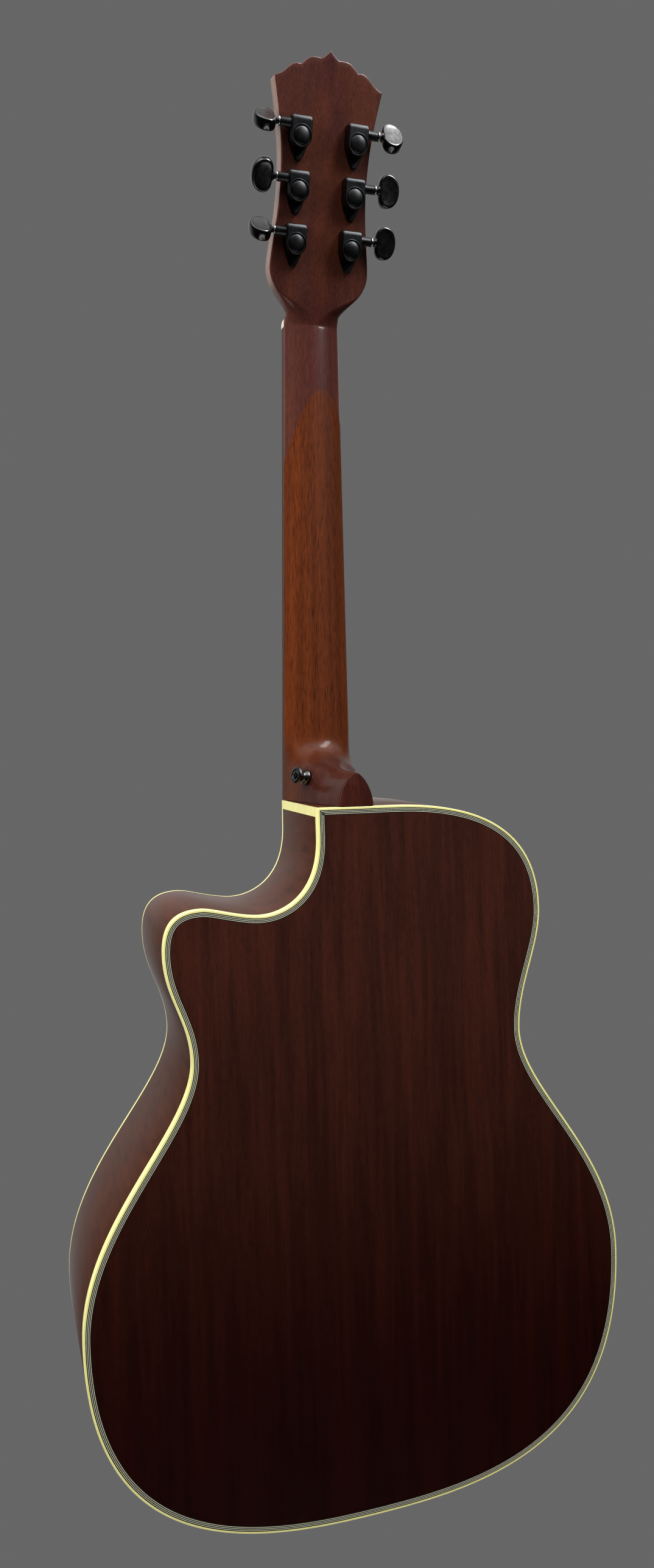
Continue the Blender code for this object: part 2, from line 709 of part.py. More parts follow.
def build_heel_cap():
    """Flush cap over the heel, shaped like the heel's end."""
    levels = [CLEAR + (HEEL_TIP - CLEAR) * f for f in (0.0, 0.3, 0.55, 0.75, 0.9, 0.97)]
    half = [(0.0, HEEL_TIP)] + [(neck_half(v, back_y(v)), v) for v in reversed(levels)]
    outline = mirrored_outline(half)
    shape = plate(outline, lambda v: back_y(v) - HEEL_CAP_THICK, back_y)
    make_object("heel_cap", shape, "rosewood")


def build_fretboard():
    """Cambered board with a raised fret at each twelfth-root place."""
    rows = [(NUT_UP - CLEAR, 0.0)]
    for number in range(1, FRET_COUNT + 1):
        v = NUT_UP - SCALE_LENGTH * (1 - 2 ** (-number / 12))
        rows += [(v + FRET_WIDTH / 2, 0.0), (v, FRET_HEIGHT), (v - FRET_WIDTH / 2, 0.0)]
    rows.append((BOARD_END, 0.0))
    rings = []
    for v, raised in rows:
        half = neck_width(v) / 2
        ring = [body_point(half, BOARD_BOTTOM, v)]
        for share in (1.0, 0.5, 0.0, -0.5, -1.0):
            x = half * share
            drop = x * x / (2 * FRETBOARD_RADIUS)
            ring.append(body_point(x, BOARD_FACE + drop - raised, v))
        ring.append(body_point(-half, BOARD_BOTTOM, v))
        rings.append(ring)
    make_object("fretboard", loft(rings), "rosewood")


def build_nut_and_head():
    """Nut, headstock veneer, truss rod and its cover."""
    top = BOARD_FACE - NUT_STRING_HEIGHT + CLEAR
    half = NECK_WIDTH_NUT / 2
    section = [(-half, -CLEAR), (half, -CLEAR), (half, top + 1.2), (half * 0.5, top), (-half * 0.5, top),
               (-half, top + 1.2)]
    rings = [[body_point(x, y, v) for x, y in section] for v in (NUT_UP, NUT_UP + NUT_THICK - CLEAR)]
    make_object("nut", loft(rings), "bone")
    face = prism(mirrored_outline(head_half()), 0.0, HEADPLATE_THICK, head_point)
    veneer = make_object("headplate", face, "rosewood")
    for number, x, s in post_places():
        hole = turned([(-3, POST_HOLE), (4, POST_HOLE)], 12,
                      lambda a, b, c, x=x, s=s: head_point(x + a, s + b, c))
        cut(veneer, hole, "post_hole_%d" % number)
    rod = block(-TRUSS_ROD_WIDTH / 2, TRUSS_ROD_WIDTH / 2, CLEAR, TRUSS_ROD_DEPTH,
                NUT_UP - TRUSS_ROD_LENGTH + CLEAR, NUT_UP - 2 * CLEAR, body_point)
    make_object("truss_rod", rod, "steel")
    shape = prism(mirrored_outline(list(ROD_COVER)), -ROD_COVER_THICK - CLEAR, -CLEAR, head_point)
    make_object("truss_rod_cover", shape, "black_plastic")


# Tuners

def post_places():
    """String number, x and s of each post: strings 1 to 3 treble, 4 to 6 bass."""
    places = []
    for i, s in enumerate(POST_ROWS):
        places.append((i + 1, POST_X, s))
        places.append((6 - i, -POST_X, s))
    return sorted(places)


def housing_outline():
    """Square top, round lower end, seen from behind: (across, along)."""
    half = HOUSING_HALF
    bevel = HOUSING_BEVEL
    points = [(half, HOUSING_TOP - bevel), (half - bevel, HOUSING_TOP), (bevel - half, HOUSING_TOP),
              (-half, HOUSING_TOP - bevel)]
    for i in range(HOUSING_ROUND_STEPS + 1):
        turn = math.pi + math.pi * i / HOUSING_ROUND_STEPS
        points.append((half * math.cos(turn), half * math.sin(turn)))
    return points


def build_housing(number, x, s):
    """Die-cast housing with gear cap, mounting lug, collar, gear pocket and worm tunnel."""
    side = 1 if x > 0 else -1

    def place(a, b, c):
        return head_point(x + side * a, s + b, HEAD_THICK + c)

    def along_shaft(a, b, c):
        return place(c, WORM_OFFSET + a, DRIVE_HEIGHT + b)

    outline = housing_outline()
    rings = []
    levels = ((CLEAR, 1.0), (HOUSING_HEIGHT - HOUSING_BEVEL, 1.0), (HOUSING_HEIGHT, HOUSING_CROWN))
    for level, scale in levels:
        rings.append([place(a * scale, 2.0 + (b - 2.0) * scale, level) for a, b in outline])
    housing = make_object("tuner_housing_%d" % number, loft(rings), "black_metal")
    cap = [(HOUSING_HEIGHT - 1, CAP_RADIUS),
           (HOUSING_HEIGHT + 0.35 * CAP_DOME, CAP_RADIUS),
           (HOUSING_HEIGHT + 0.8 * CAP_DOME, CAP_RADIUS * 0.65),
           (HOUSING_HEIGHT + CAP_DOME, CAP_RADIUS * 0.2)]
    join(housing, turned(cap, 16, place), "cap")
    lug = [(HOUSING_HALF - 1.0, 0.0), (LUG_TIP_RADIUS, LUG_TIP_LENGTH - LUG_LENGTH),
           (LUG_TIP_FLAT, -LUG_LENGTH)]
    lug = lug + [(-a, b) for a, b in reversed(lug)]
    join(housing, prism(lug, CLEAR + LUG_LIFT, LUG_HEIGHT, place), "lug")
    collar = [(HOUSING_HALF - 1, COLLAR_RADIUS), (COLLAR_END, COLLAR_RADIUS)]
    join(housing, turned(collar, 12, along_shaft), "collar")
    pocket_radius = GEAR_PITCH_RADIUS + TOOTH_OUT + 2 * RUN
    pocket_top = DRIVE_HEIGHT + GEAR_WIDTH / 2 + 2 * RUN
    cut(housing, turned([(-2, pocket_radius), (pocket_top, pocket_radius)], 16, place), "gear_pocket")
    tunnel_radius = WORM_PITCH_RADIUS + TOOTH_OUT + 2 * RUN
    worm_half = WORM_LENGTH / 2
    tunnel = [(-worm_half - 3 * RUN, tunnel_radius), (worm_half + 3 * RUN, tunnel_radius)]
    cut(housing, turned(tunnel, 14, along_shaft), "worm_tunnel")
    bore = BUTTON_SHAFT_RADIUS + RUN
    cut(housing, turned([(0, bore), (COLLAR_END + 3, bore)], 12, along_shaft), "shaft_bore")
    return housing


def worm_and_shaft(place, side, columns=10):
    """Worm, shaft, washer and stem as one skin of columns around the shaft.

    Each column is a row of (key, along, radius). The thread's rows climb by one
    pitch in a full turn, so neighbouring columns are zipped by their keys."""
    worm_half = WORM_LENGTH / 2
    shaft = BUTTON_SHAFT_RADIUS
    root = WORM_PITCH_RADIUS - TOOTH_IN
    tip = WORM_PITCH_RADIUS + TOOTH_OUT
    head = [(-worm_half - RUN, shaft * 0.9), (-worm_half, root)]
    tail = [(worm_half, root), (worm_half + RUN, shaft), (COLLAR_END + RUN, shaft),
            (COLLAR_END + RUN, WASHER_RADIUS), (COLLAR_END + RUN + WASHER_THICK, WASHER_RADIUS),
            (COLLAR_END + RUN + WASHER_THICK, shaft), (BUTTON_START + 1.5, shaft)]
    points = [place(head[0][0], 0.0, 0.0), place(tail[-1][0], 0.0, 0.0)]
    columns_rows = []
    for i in range(columns):
        turn = 2 * math.pi * i / columns
        row = [(k, along, radius) for k, (along, radius) in enumerate(head)]
        centre = CIRCULAR_PITCH * ((turn - math.pi) / (2 * math.pi) + 0.5)
        for k in range(-8, 9):
            middle = centre + k * CIRCULAR_PITCH
            for shift, radius in ((-THREAD_ROOT / 2, root), (-THREAD_TIP / 2, tip), (THREAD_TIP / 2, tip),
                                  (THREAD_ROOT / 2, root)):
                along = (middle + shift) * side
                if abs(along) < worm_half - 0.15:
                    row.append((100 + along, along, radius))
        row += [(200 + k, along, radius) for k, (along, radius) in enumerate(tail)]
        row.sort()
        rows = [(-1.0, 0)]
        for key, along, radius in row:
            points.append(place(along, radius * math.cos(turn), radius * math.sin(turn)))
            rows.append((key, len(points) - 1))
        rows.append((999.0, 1))
        columns_rows.append(rows)
    faces = []
    for i in range(columns):
        faces += zip_loops(columns_rows[i], columns_rows[(i + 1) % columns])
    return points, [f for f in faces if len(set(f)) == 3]


def button_outline():
    """Kidney outline: nearly straight beside the shaft, round outside."""
    half = BUTTON_HALF_WIDTH
    length = BUTTON_LENGTH
    outer = bezier((length * 0.35, half), (length * 0.78, half), (length, half * 0.62), (length, 0), 5)
    inner = bezier((0.6, 0), (0.6, half * 0.55), (length * 0.02, half), (length * 0.35, half), 4)
    top = np.vstack([inner, outer])
    bottom = (top * np.array([1, -1]))[::-1][:-1]
    return [tuple(p) for p in np.vstack([top, [(length, 0)], bottom])]


def build_button(number, x, s, turn_degrees):
    """Button with its shaft and worm, turned to where it was left."""
    side = 1 if x > 0 else -1
    lean = math.radians(turn_degrees)

    def along_shaft(along, up, back):
        return head_point(x + side * along, s + WORM_OFFSET + up, HEAD_THICK + DRIVE_HEIGHT + back)

    def thread_place(along, up, back):
        return along_shaft(along, up, -back)

    def leaned(a, b, c):
        up = b * math.cos(lean) + c * math.sin(lean)
        back = c * math.cos(lean) - b * math.sin(lean)
        return along_shaft(BUTTON_START + a, up, back)

    origin = head_point(x, s + WORM_OFFSET, HEAD_THICK + DRIVE_HEIGHT)
    shape = worm_and_shaft(thread_place, side)
    button = make_object("tuner_button_%d" % number, shape, "black_plastic", origin)
    middle = BUTTON_LENGTH * 0.45
    rings = []
    for level, scale in ((-0.5, 0.76), (-0.27, 1.0), (0.27, 1.0), (0.5, 0.76)):
        ring = []
        for a, b in button_outline():
            ring.append(leaned(middle + (a - middle) * scale, b * scale, level * BUTTON_THICK))
        rings.append(ring)
    join(button, loft(rings), "button_body")


def gear_outline():
    """Spur teeth with one tooth centred on the worm's side."""
    root = GEAR_PITCH_RADIUS - TOOTH_IN
    tip = GEAR_PITCH_RADIUS + TOOTH_OUT
    points = []
    for k in range(GEAR_TEETH):
        middle = math.pi / 2 + 2 * math.pi * k / GEAR_TEETH
        for width, radius in ((-TOOTH_ROOT, root), (-TOOTH_TIP, tip), (TOOTH_TIP, tip), (TOOTH_ROOT, root)):
            turn = middle + width / 2 / radius
            points.append((turn, radius))
    return points


def build_post(number, x, s, steps=10):
    """String post with its worm gear and the closed turns of string on it."""

    def place(a, b, c):
        return head_point(x + a, s + b, c)

    gear_low = HEAD_THICK + DRIVE_HEIGHT - GEAR_WIDTH / 2
    gear_high = HEAD_THICK + DRIVE_HEIGHT + GEAR_WIDTH / 2
    winding_far = -WINDING_NEAR - WINDING_LENGTH
    profile = [(-POST_FRONT, POST_RADIUS * 0.85), (-POST_FRONT + 0.8, POST_RADIUS),
               (winding_far - 2.0, POST_RADIUS * 0.85), (winding_far, POST_RADIUS * 0.85),
               (winding_far, WINDING_RADIUS), (-WINDING_NEAR, WINDING_RADIUS),
               (-WINDING_NEAR, POST_RADIUS), (gear_low, POST_RADIUS)]
    points = []
    faces = []
    rings = []
    for along, radius in profile:
        row = []
        for i in range(steps):
            turn = 2 * math.pi * i / steps
            points.append(place(radius * math.cos(turn), radius * math.sin(turn), along))
            row.append((turn, len(points) - 1))
        rings.append(row)
    for low, high in zip(rings, rings[1:]):
        for i in range(steps):
            k = (i + 1) % steps
            faces.append((low[i][1], low[k][1], high[k][1], high[i][1]))
    faces.append(tuple(index for _, index in rings[0]))
    teeth = []
    for level in (gear_low, gear_high):
        row = []
        for turn, radius in gear_outline():
            points.append(place(radius * math.cos(turn), radius * math.sin(turn), level))
            row.append((turn, len(points) - 1))
        teeth.append(row)
    count = len(teeth[0])
    for i in range(count):
        k = (i + 1) % count
        faces.append((teeth[0][i][1], teeth[0][k][1], teeth[1][k][1], teeth[1][i][1]))
    faces.append(tuple(index for _, index in teeth[1]))
    shaft_row = around_from(rings[-1], teeth[0][0][0])
    gear_row = teeth[0] + [(teeth[0][0][0] + 2 * math.pi, teeth[0][0][1])]
    faces += [f for f in zip_loops(shaft_row, gear_row) if len(set(f)) == 3]
    origin = head_point(x, s, HEAD_THICK)
    make_object("tuner_post_%d" % number, (points, faces), "steel", origin)


def around_from(row, start):
    """Turn a ring's (angle, index) row so that it starts after an angle and closes."""
    moved = [((turn - start) % (2 * math.pi) + start, index) for turn, index in row]
    moved.sort()
    return moved + [(moved[0][0] + 2 * math.pi, moved[0][1])]


def build_tuners():
    for number, x, s in post_places():
        build_housing(number, x, s)
        build_button(number, x, s, BUTTON_TURNS[number - 1])
        build_post(number, x, s)


# Strings

def string_lane(number, spread):
    """Lane of a string: string 1 on the treble side."""
    return spread / 2 - (number - 1) * spread / 5


def tube(path, radius, steps=6):
    """A thin tube along a path, closed at its ends."""
    path = [np.asarray(p, float) for p in path]
    rings = []
    for i, point in enumerate(path):
        ahead = path[min(i + 1, len(path) - 1)] - path[max(i - 1, 0)]
        ahead = ahead / np.linalg.norm(ahead)
        u = np.cross(ahead, (0.0, 1.0, 0.0))
        u = u / np.linalg.norm(u)
        w = np.cross(u, ahead)
        ring = []
        for a, b in circle(radius, steps):
            ring.append(point + u * a + w * b)
        rings.append(ring)
    return loft(rings)


def build_strings():
    """Each string from its bridge pin, over saddle and nut, to its post's turns."""
    nut_top = BOARD_FACE - NUT_STRING_HEIGHT
    for number, x, s in post_places():
        radius = STRING_RADII[number - 1]
        bridge_x = string_lane(number, STRING_SPREAD_BRIDGE)
        nut_x = string_lane(number, STRING_SPREAD_NUT)
        side = 1 if x > 0 else -1
        slant = bridge_x * math.tan(SADDLE_SLANT)
        over_saddle = BOARD_FACE - SADDLE_STRING_HEIGHT - radius
        pin_y = -CLEAR - BRIDGE_THICK - CLEAR - radius
        winding = -(WINDING_NEAR + WINDING_LENGTH / 2)
        lane = x - side * (WINDING_RADIUS + RUN + radius)
        path = [body_point(bridge_x, pin_y, SADDLE_V + slant - PIN_BELOW_SADDLE + 2),
                body_point(bridge_x, over_saddle, SADDLE_V + slant),
                body_point(bridge_x, over_saddle, SADDLE_V + slant + SADDLE_THICK / 2),
                body_point(nut_x, nut_top - radius, NUT_UP),
                body_point(nut_x, nut_top - radius, NUT_UP + NUT_THICK),
                head_point(lane, s, winding)]
        make_object("string_%d" % number, tube(path, radius), "bronze" if number > 2 else "steel", sharp=80)


# Body

def build_plates():
    """Soundboard with its hole, and the back with its purfling ring."""
    top = plate(inset(OUTLINE, PLATE_INSET), lambda v: 0.0, lambda v: TOP_THICK)
    soundboard = make_object("soundboard", top, "spruce")
    hole = prism(circle(SOUNDHOLE_RADIUS, 32, (0.0, SOUNDHOLE_V)), -5, TOP_THICK + 5,
                 lambda x, v, y: body_point(x, y, v))
    cut(soundboard, hole, "soundhole")
    back = plate(inset(OUTLINE, BACK_PLATE_INSET), lambda v: back_y(v) - BACK_THICK, back_y)
    make_object("back_plate", back, "body_mahogany")
    ring = [(PLATE_INSET, "back", 0.0), (PLATE_INSET + PURFLING_WIDTH, "back", 0.0),
            (PLATE_INSET + PURFLING_WIDTH, "back", BACK_THICK), (PLATE_INSET, "back", BACK_THICK)]
    make_object("back_purfling", band(OUTLINE, ring, True), "purfling")


def build_sides():
    """Two bent sides with a rabbet for each binding, meeting at the tail."""
    top_edge = TOP_THICK + CLEAR
    back_edge = BACK_THICK + CLEAR
    ledge = PLATE_INSET
    section = [(0.0, "front", TOP_BINDING_HEIGHT + CLEAR), (ledge, "front", TOP_BINDING_HEIGHT + CLEAR),
               (SIDE_THICK, "front", top_edge), (SIDE_THICK, "back", back_edge), (ledge, "back", back_edge),
               (ledge, "back", BINDING_HEIGHT + CLEAR), (0.0, "back", BINDING_HEIGHT + CLEAR)]
    treble = clip_start(TREBLE_PATH, lambda p: p[1] < -CORNER_STRIP - CLEAR)
    treble = treble[::-1].copy()
    treble[0, 0] = CLEAR / 2
    bass = BASS_PATH.copy()
    bass[0, 0] = -CLEAR / 2
    bass[-1, 0] = SHOULDER_HALF - BINDING_THICK - CLEAR
    side_treble = make_object("side_treble", band(treble[::-1], section, False), "side_mahogany")
    side_bass = make_object("side_bass", band(bass, section, False), "side_mahogany")
    hole = JACK_BARREL + CLEAR
    for side in (side_treble, side_bass):
        cut(side, turned([(-30, hole), (8, hole)], 16, jack_frame()), "jack_hole")
    place = preamp_frame()
    half_long = PREAMP_BOX_LENGTH / 2 + BOX_ROOM
    half_wide = PREAMP_BOX_WIDTH / 2 + BOX_ROOM
    opening = block(-half_long, half_long, -half_wide, half_wide, -15, 10, place)
    cut(side_bass, opening, "preamp_opening")


def build_bindings():
    """Cream edges round the top and the back, and the strip at the treble shoulder."""
    top = [(0.0, "front", 0.0), (BINDING_THICK, "front", 0.0), (BINDING_THICK, "front", TOP_BINDING_HEIGHT),
           (0.0, "front", TOP_BINDING_HEIGHT)]
    make_object("top_binding", band(OUTLINE, top, True), "cream_binding")
    back = [(0.0, "back", 0.0), (BINDING_THICK, "back", 0.0), (BINDING_THICK, "back", BINDING_HEIGHT),
            (0.0, "back", BINDING_HEIGHT)]
    make_object("back_binding", band(OUTLINE, back, True), "cream_binding")
    inner = SHOULDER_HALF - BINDING_THICK
    rings = []
    for x in (inner, SHOULDER_HALF):
        ring = []
        for v in (0.0, -CORNER_STRIP):
            ring.append(body_point(x, TOP_BINDING_HEIGHT + CLEAR, v))
        for v in (-CORNER_STRIP, 0.0):
            ring.append(body_point(x, back_y(v) - BINDING_HEIGHT - CLEAR, v))
        rings.append(ring)
    make_object("corner_binding", loft(rings), "cream_binding")


def tail_inner():
    """Lowest height at which the tail block clears both sides."""
    inner = inset(OUTLINE, SIDE_INNER)
    near = inner[(np.abs(inner[:, 0]) < TAIL_BLOCK_HALF + 12) & (inner[:, 1] < -BODY_LENGTH / 2)]
    order = np.argsort(near[:, 0])
    edge = np.interp(TAIL_BLOCK_HALF, near[order, 0], near[order, 1])
    return edge


def build_blocks():
    """Neck block behind the heel, and tail block behind the jack."""
    top = TOP_THICK + CLEAR
    low = -SIDE_INNER - NECK_BLOCK_LENGTH
    right = SHOULDER_HALF - SIDE_INNER
    rings = []
    for v in (-SIDE_INNER, low):
        back = back_y(v) - BACK_THICK - CLEAR
        rings.append([body_point(x, y, v) for x, y in
                      ((-SHOULDER_HALF, top), (right, top), (right, back), (-SHOULDER_HALF, back))])
    make_object("neck_block", loft(rings), "inner_wood")
    low = tail_inner()
    rings = []
    for v in (low, low + TAIL_BLOCK_LENGTH):
        back = back_y(v) - BACK_THICK - CLEAR
        half = TAIL_BLOCK_HALF
        corners = ((-half, top), (half, top), (half, back), (-half, back))
        rings.append([body_point(x, y, v) for x, y in corners])
    tail = make_object("tail_block", loft(rings), "inner_wood")
    hole = JACK_BARREL + CLEAR
    cut(tail, turned([(-60, hole), (8, hole)], 16, jack_frame()), "jack_hole")


def build_linings():
    """Kerfed strips that join sides and plates, stopping at both blocks."""
    gap = 3 * CLEAR
    outer = SIDE_INNER
    inner = SIDE_INNER + LINING_WIDTH
    top_edge = TOP_THICK + CLEAR
    back_edge = BACK_THICK + CLEAR
    tail_limit = TAIL_BLOCK_HALF + gap
    block_end = -SIDE_INNER - NECK_BLOCK_LENGTH - gap
    treble = clip_both(TREBLE_PATH, lambda p: p[1] < block_end, lambda p: p[0] > tail_limit)
    bass = clip_both(OUTLINE[TAIL:-1], lambda p: p[0] < -tail_limit, lambda p: p[0] < -SHOULDER_HALF - gap)
    for side, path in (("treble", treble), ("bass", bass)):
        top = [(outer, "front", top_edge), (inner, "front", top_edge), (inner, "front", top_edge + 4),
               (outer, "front", top_edge + LINING_HEIGHT)]
        make_object("top_lining_" + side, band(path, top, False), "inner_wood")
        back = [(outer, "back", back_edge), (inner, "back", back_edge), (inner, "back", back_edge + 4),
                (outer, "back", back_edge + LINING_HEIGHT)]
        make_object("back_lining_" + side, band(path, back, False), "inner_wood")


def half_inside(v, margin, side):
    """How far a cross piece can reach at height v inside the linings."""
    inner = inset(OUTLINE, margin)
    part = inner[inner[:, 0] * side > 5]
    lower = part[part[:, 1] <= -WAIST[1] * 0.55]
    order = np.argsort(lower[:, 1])
    return float(np.interp(v, lower[order, 1], np.abs(lower[order, 0])))


def bar(start, end, width, glue, height):
    """A straight brace from its glue plane to its free edge, which is narrower."""
    a = np.array(start, float)
    b = np.array(end, float)
    along = (b - a) / np.linalg.norm(b - a)
    across = np.array([along[1], -along[0]]) * width / 2
    rings = []
    for end_point in (a, b):
        ring = []
        for side, drop in ((1.0, 0.0), (-1.0, 0.0), (-BRACE_EDGE, height), (BRACE_EDGE, height)):
            p = end_point + across * side
            ring.append(body_point(p[0], glue(p[1]) + drop, p[1]))
        rings.append(ring)
    return loft(rings)


def crossed_legs():
    """Where the braces cross, where their upper ends meet the cross bar, and their slope."""
    margin = SIDE_INNER + LINING_WIDTH + 2.0
    cross_v = SOUNDHOLE_V - SOUNDHOLE_RADIUS - BRACE_BELOW_HOLE
    bar_v = SOUNDHOLE_V + SOUNDHOLE_RADIUS + BRACE_WIDTH / 2 + BRACE_BAR_GAP
    leg_x = min(half_inside(bar_v - BRACE_WIDTH, margin, side) for side in (-1, 1)) - BRACE_WIDTH / 2
    return margin, cross_v, bar_v, leg_x, leg_x / (bar_v - cross_v)


def build_bracing():
    """Crossed braces and a cross bar under the top, ladder braces on the back."""
    margin, cross_v, bar_v, leg_x, slope = crossed_legs()

    def glue(v):
        return TOP_THICK + CLEAR

    low_x = half_inside(-LOWER_BOUT[1], margin, 1) - BRACE_LOW_INSET
    low_v = cross_v - low_x / slope
    first = bar((-leg_x, bar_v), (low_x, low_v), BRACE_WIDTH, glue, BRACE_HEIGHT)
    bracing = make_object("top_bracing", first, "spruce")
    join(bracing, bar((leg_x, bar_v), (-low_x, low_v), BRACE_WIDTH, glue, BRACE_HEIGHT), "second_leg")
    join(bracing, bar((-leg_x, bar_v), (leg_x, bar_v), BRACE_WIDTH, glue, BRACE_HEIGHT - 2), "cross_bar")
    tone_v = SADDLE_V - TONE_BAR_DOWN
    tone_x = (cross_v - tone_v) * slope
    tone_end = (tone_x * TONE_BAR_SHARE, low_v - TONE_BAR_LOW)
    tone = bar((-tone_x, tone_v), tone_end, BRACE_WIDTH * 0.8, glue, BRACE_HEIGHT * 0.7)
    join(bracing, tone, "tone_bar")

    def under_back(v):
        return back_y(v) - BACK_THICK - CLEAR

    def under_strip(v):
        return under_back(v) - STRIP_PROUD

    strip_top = -SIDE_INNER - NECK_BLOCK_LENGTH - BLOCK_GAP
    strip_low = tail_inner() + TAIL_BLOCK_LENGTH + BLOCK_GAP
    strip = bar((0, strip_top), (0, strip_low), BACK_STRIP_WIDTH, under_back, -BACK_STRIP_THICK)
    backing = make_object("back_bracing", strip, "spruce")
    for index, share in enumerate(LADDER_SHARES):
        v = strip_top + (strip_low - strip_top) * share
        ends = (-half_inside(v, margin, -1), v), (half_inside(v, margin, 1), v)
        brace = bar(*ends, BACK_BRACE_WIDTH, under_strip, -BACK_BRACE_HEIGHT)
        join(backing, brace, "ladder_%d" % (index + 1))


def saddle_frame(a, b, c):
    """Along the saddle, across it, and forward out of the bridge."""
    x = a * math.cos(SADDLE_SLANT) - b * math.sin(SADDLE_SLANT)
    v = a * math.sin(SADDLE_SLANT) + b * math.cos(SADDLE_SLANT)
    return body_point(x, -c, SADDLE_V + v)


def build_bridge():
    """Bridge with its saddle slot, the saddle, the pickup under it, and the plate inside."""
    rings = []
    for x in (-1.0, -0.92, -0.62, -0.42, -0.2, 0.0, 0.2, 0.42, 0.62, 0.92, 1.0):
        belly = BRIDGE_BELLY * max(0.0, 1 - (abs(x) / 0.62) ** 2)
        wing = min(1.0, max(0.0, (0.66 - abs(x)) / 0.24))
        end = 0.75 if abs(x) == 1.0 else 1.0
        thick = BRIDGE_WING_THICK * end + (BRIDGE_THICK - BRIDGE_WING_THICK) * wing
        upper = SADDLE_V + BRIDGE_WING * end - BRIDGE_DROP
        lower = SADDLE_V - BRIDGE_WING * end - BRIDGE_DROP - belly
        face = thick + CLEAR
        edge = face - BRIDGE_EDGE
        section = [(upper, CLEAR), (upper, edge), (upper - BRIDGE_BEVEL, face),
                   (lower + BRIDGE_BEVEL, face), (lower, edge), (lower, CLEAR)]
        rings.append([body_point(x * BRIDGE_HALF, -c, v) for v, c in section])
    bridge = make_object("bridge", loft(rings), "rosewood")
    floor = CLEAR + BRIDGE_THICK - SADDLE_SEAT
    half = SADDLE_LENGTH / 2
    slot = block(-half - CLEAR, half + CLEAR, -SADDLE_THICK / 2 - CLEAR, SADDLE_THICK / 2 + CLEAR, floor,
                 floor + 20, saddle_frame)
    cut(bridge, slot, "saddle_slot")
    pickup = block(-half + 1, half - 1, -SADDLE_THICK / 2 + CLEAR, SADDLE_THICK / 2 - CLEAR, floor + CLEAR,
                   floor + CLEAR + PICKUP_THICK, saddle_frame)
    make_object("saddle_pickup", pickup, "black_plastic")
    saddle = block(-half, half, -SADDLE_THICK / 2, SADDLE_THICK / 2, floor + 2 * CLEAR + PICKUP_THICK,
                   -SADDLE_TOP, saddle_frame)
    make_object("saddle", saddle, "bone")
    _, cross_v, _, _, slope = crossed_legs()
    leg = BRACE_WIDTH / 2 * math.hypot(1.0, slope) + BRIDGE_PLATE_GAP
    high = SADDLE_V + BRIDGE_PLATE_UP
    low = SADDLE_V - BRIDGE_PLATE_DOWN
    outline = [((cross_v - high) * slope - leg, high), ((cross_v - low) * slope - leg, low)]
    outline = outline + [(-x, v) for x, v in reversed(outline)]
    shape = plate(outline, lambda v: TOP_THICK + CLEAR, lambda v: TOP_THICK + CLEAR + BRIDGE_PLATE_THICK)
    make_object("bridge_plate", shape, "inner_wood")


# Hardware

def strap_frame():
    """Axis of the heel strap button: square to the heel's treble side."""
    lean = (neck_half(STRAP_UP, STRAP_DEPTH - 6) - neck_half(STRAP_UP, STRAP_DEPTH + 6)) / 12
    rise = (neck_half(STRAP_UP - 4, STRAP_DEPTH) - neck_half(STRAP_UP + 4, STRAP_DEPTH)) / 8
    axis = np.array([1.0, lean, rise])
    start = body_point(neck_half(STRAP_UP, STRAP_DEPTH), STRAP_DEPTH, STRAP_UP)
    return axis_frame(start, axis, (0.0, 0.0, 1.0))


def build_strap_button():
    """Waisted button held to the heel by a cross-head screw."""
    place = strap_frame()
    bore = STRAP_SCREW_RADIUS + CLEAR
    base = SEAT + CLEAR
    end = base + STRAP_LENGTH
    profile = [(base, bore), (base, STRAP_BASE), (base + 1.2, STRAP_BASE - 0.2),
               (base + 5.0, STRAP_WAIST), (end - 3.4, STRAP_WAIST + 0.6),
               (end - 1.6, STRAP_FLANGE), (end - 0.5, STRAP_FLANGE), (end, STRAP_FLANGE - 0.8),
               (end, 3.9), (end - 1.7, bore)]
    make_object("heel_strap_button", turned_ring(profile, 20, place), "black_plastic")
    screw = STRAP_SCREW_RADIUS
    shape = [(-STRAP_SCREW_LENGTH, screw * 0.3), (-STRAP_SCREW_LENGTH + 3, screw), (end - 1.7 + CLEAR, screw),
             (end - 0.2, STRAP_SCREW_HEAD), (end + 0.5, STRAP_SCREW_HEAD - 1.0)]
    make_object("strap_button_screw", turned(shape, 12, place), "steel")


def jack_frame():
    """Axis of the jack: straight out of the tail, half way through the body."""
    start = body_point(0.0, back_y(-BODY_LENGTH) / 2, -BODY_LENGTH)
    return axis_frame(start, (0.0, 0.0, -1.0), (1.0, 0.0, 0.0))


def build_jack():
    """Jack that is the tail strap button too, with a socket and an inner nut."""
    place = jack_frame()
    out = JACK_OUT
    profile = [(-JACK_IN, JACK_BORE), (-JACK_IN, JACK_BARREL), (SEAT + CLEAR, JACK_BARREL),
               (SEAT + CLEAR, JACK_FOOT), (2.4, JACK_FOOT - 0.2), (3.4, JACK_NECK + 0.4),
               (out - 3.2, JACK_NECK), (out - 1.8, JACK_FLANGE), (out - 0.5, JACK_FLANGE),
               (out, JACK_FLANGE - 0.8), (out, JACK_BORE)]
    make_object("end_pin_jack", turned_ring(profile, 20, place), "black_metal")
    inner = -(tail_inner() + TAIL_BLOCK_LENGTH + BODY_LENGTH)
    bore = JACK_BARREL + CLEAR
    face = inner - CLEAR
    nut = [(face - JACK_NUT_THICK, bore), (face - JACK_NUT_THICK, JACK_NUT_RADIUS),
           (face, JACK_NUT_RADIUS), (face, bore)]
    make_object("end_pin_nut", turned_ring(nut, 12, place), "steel")


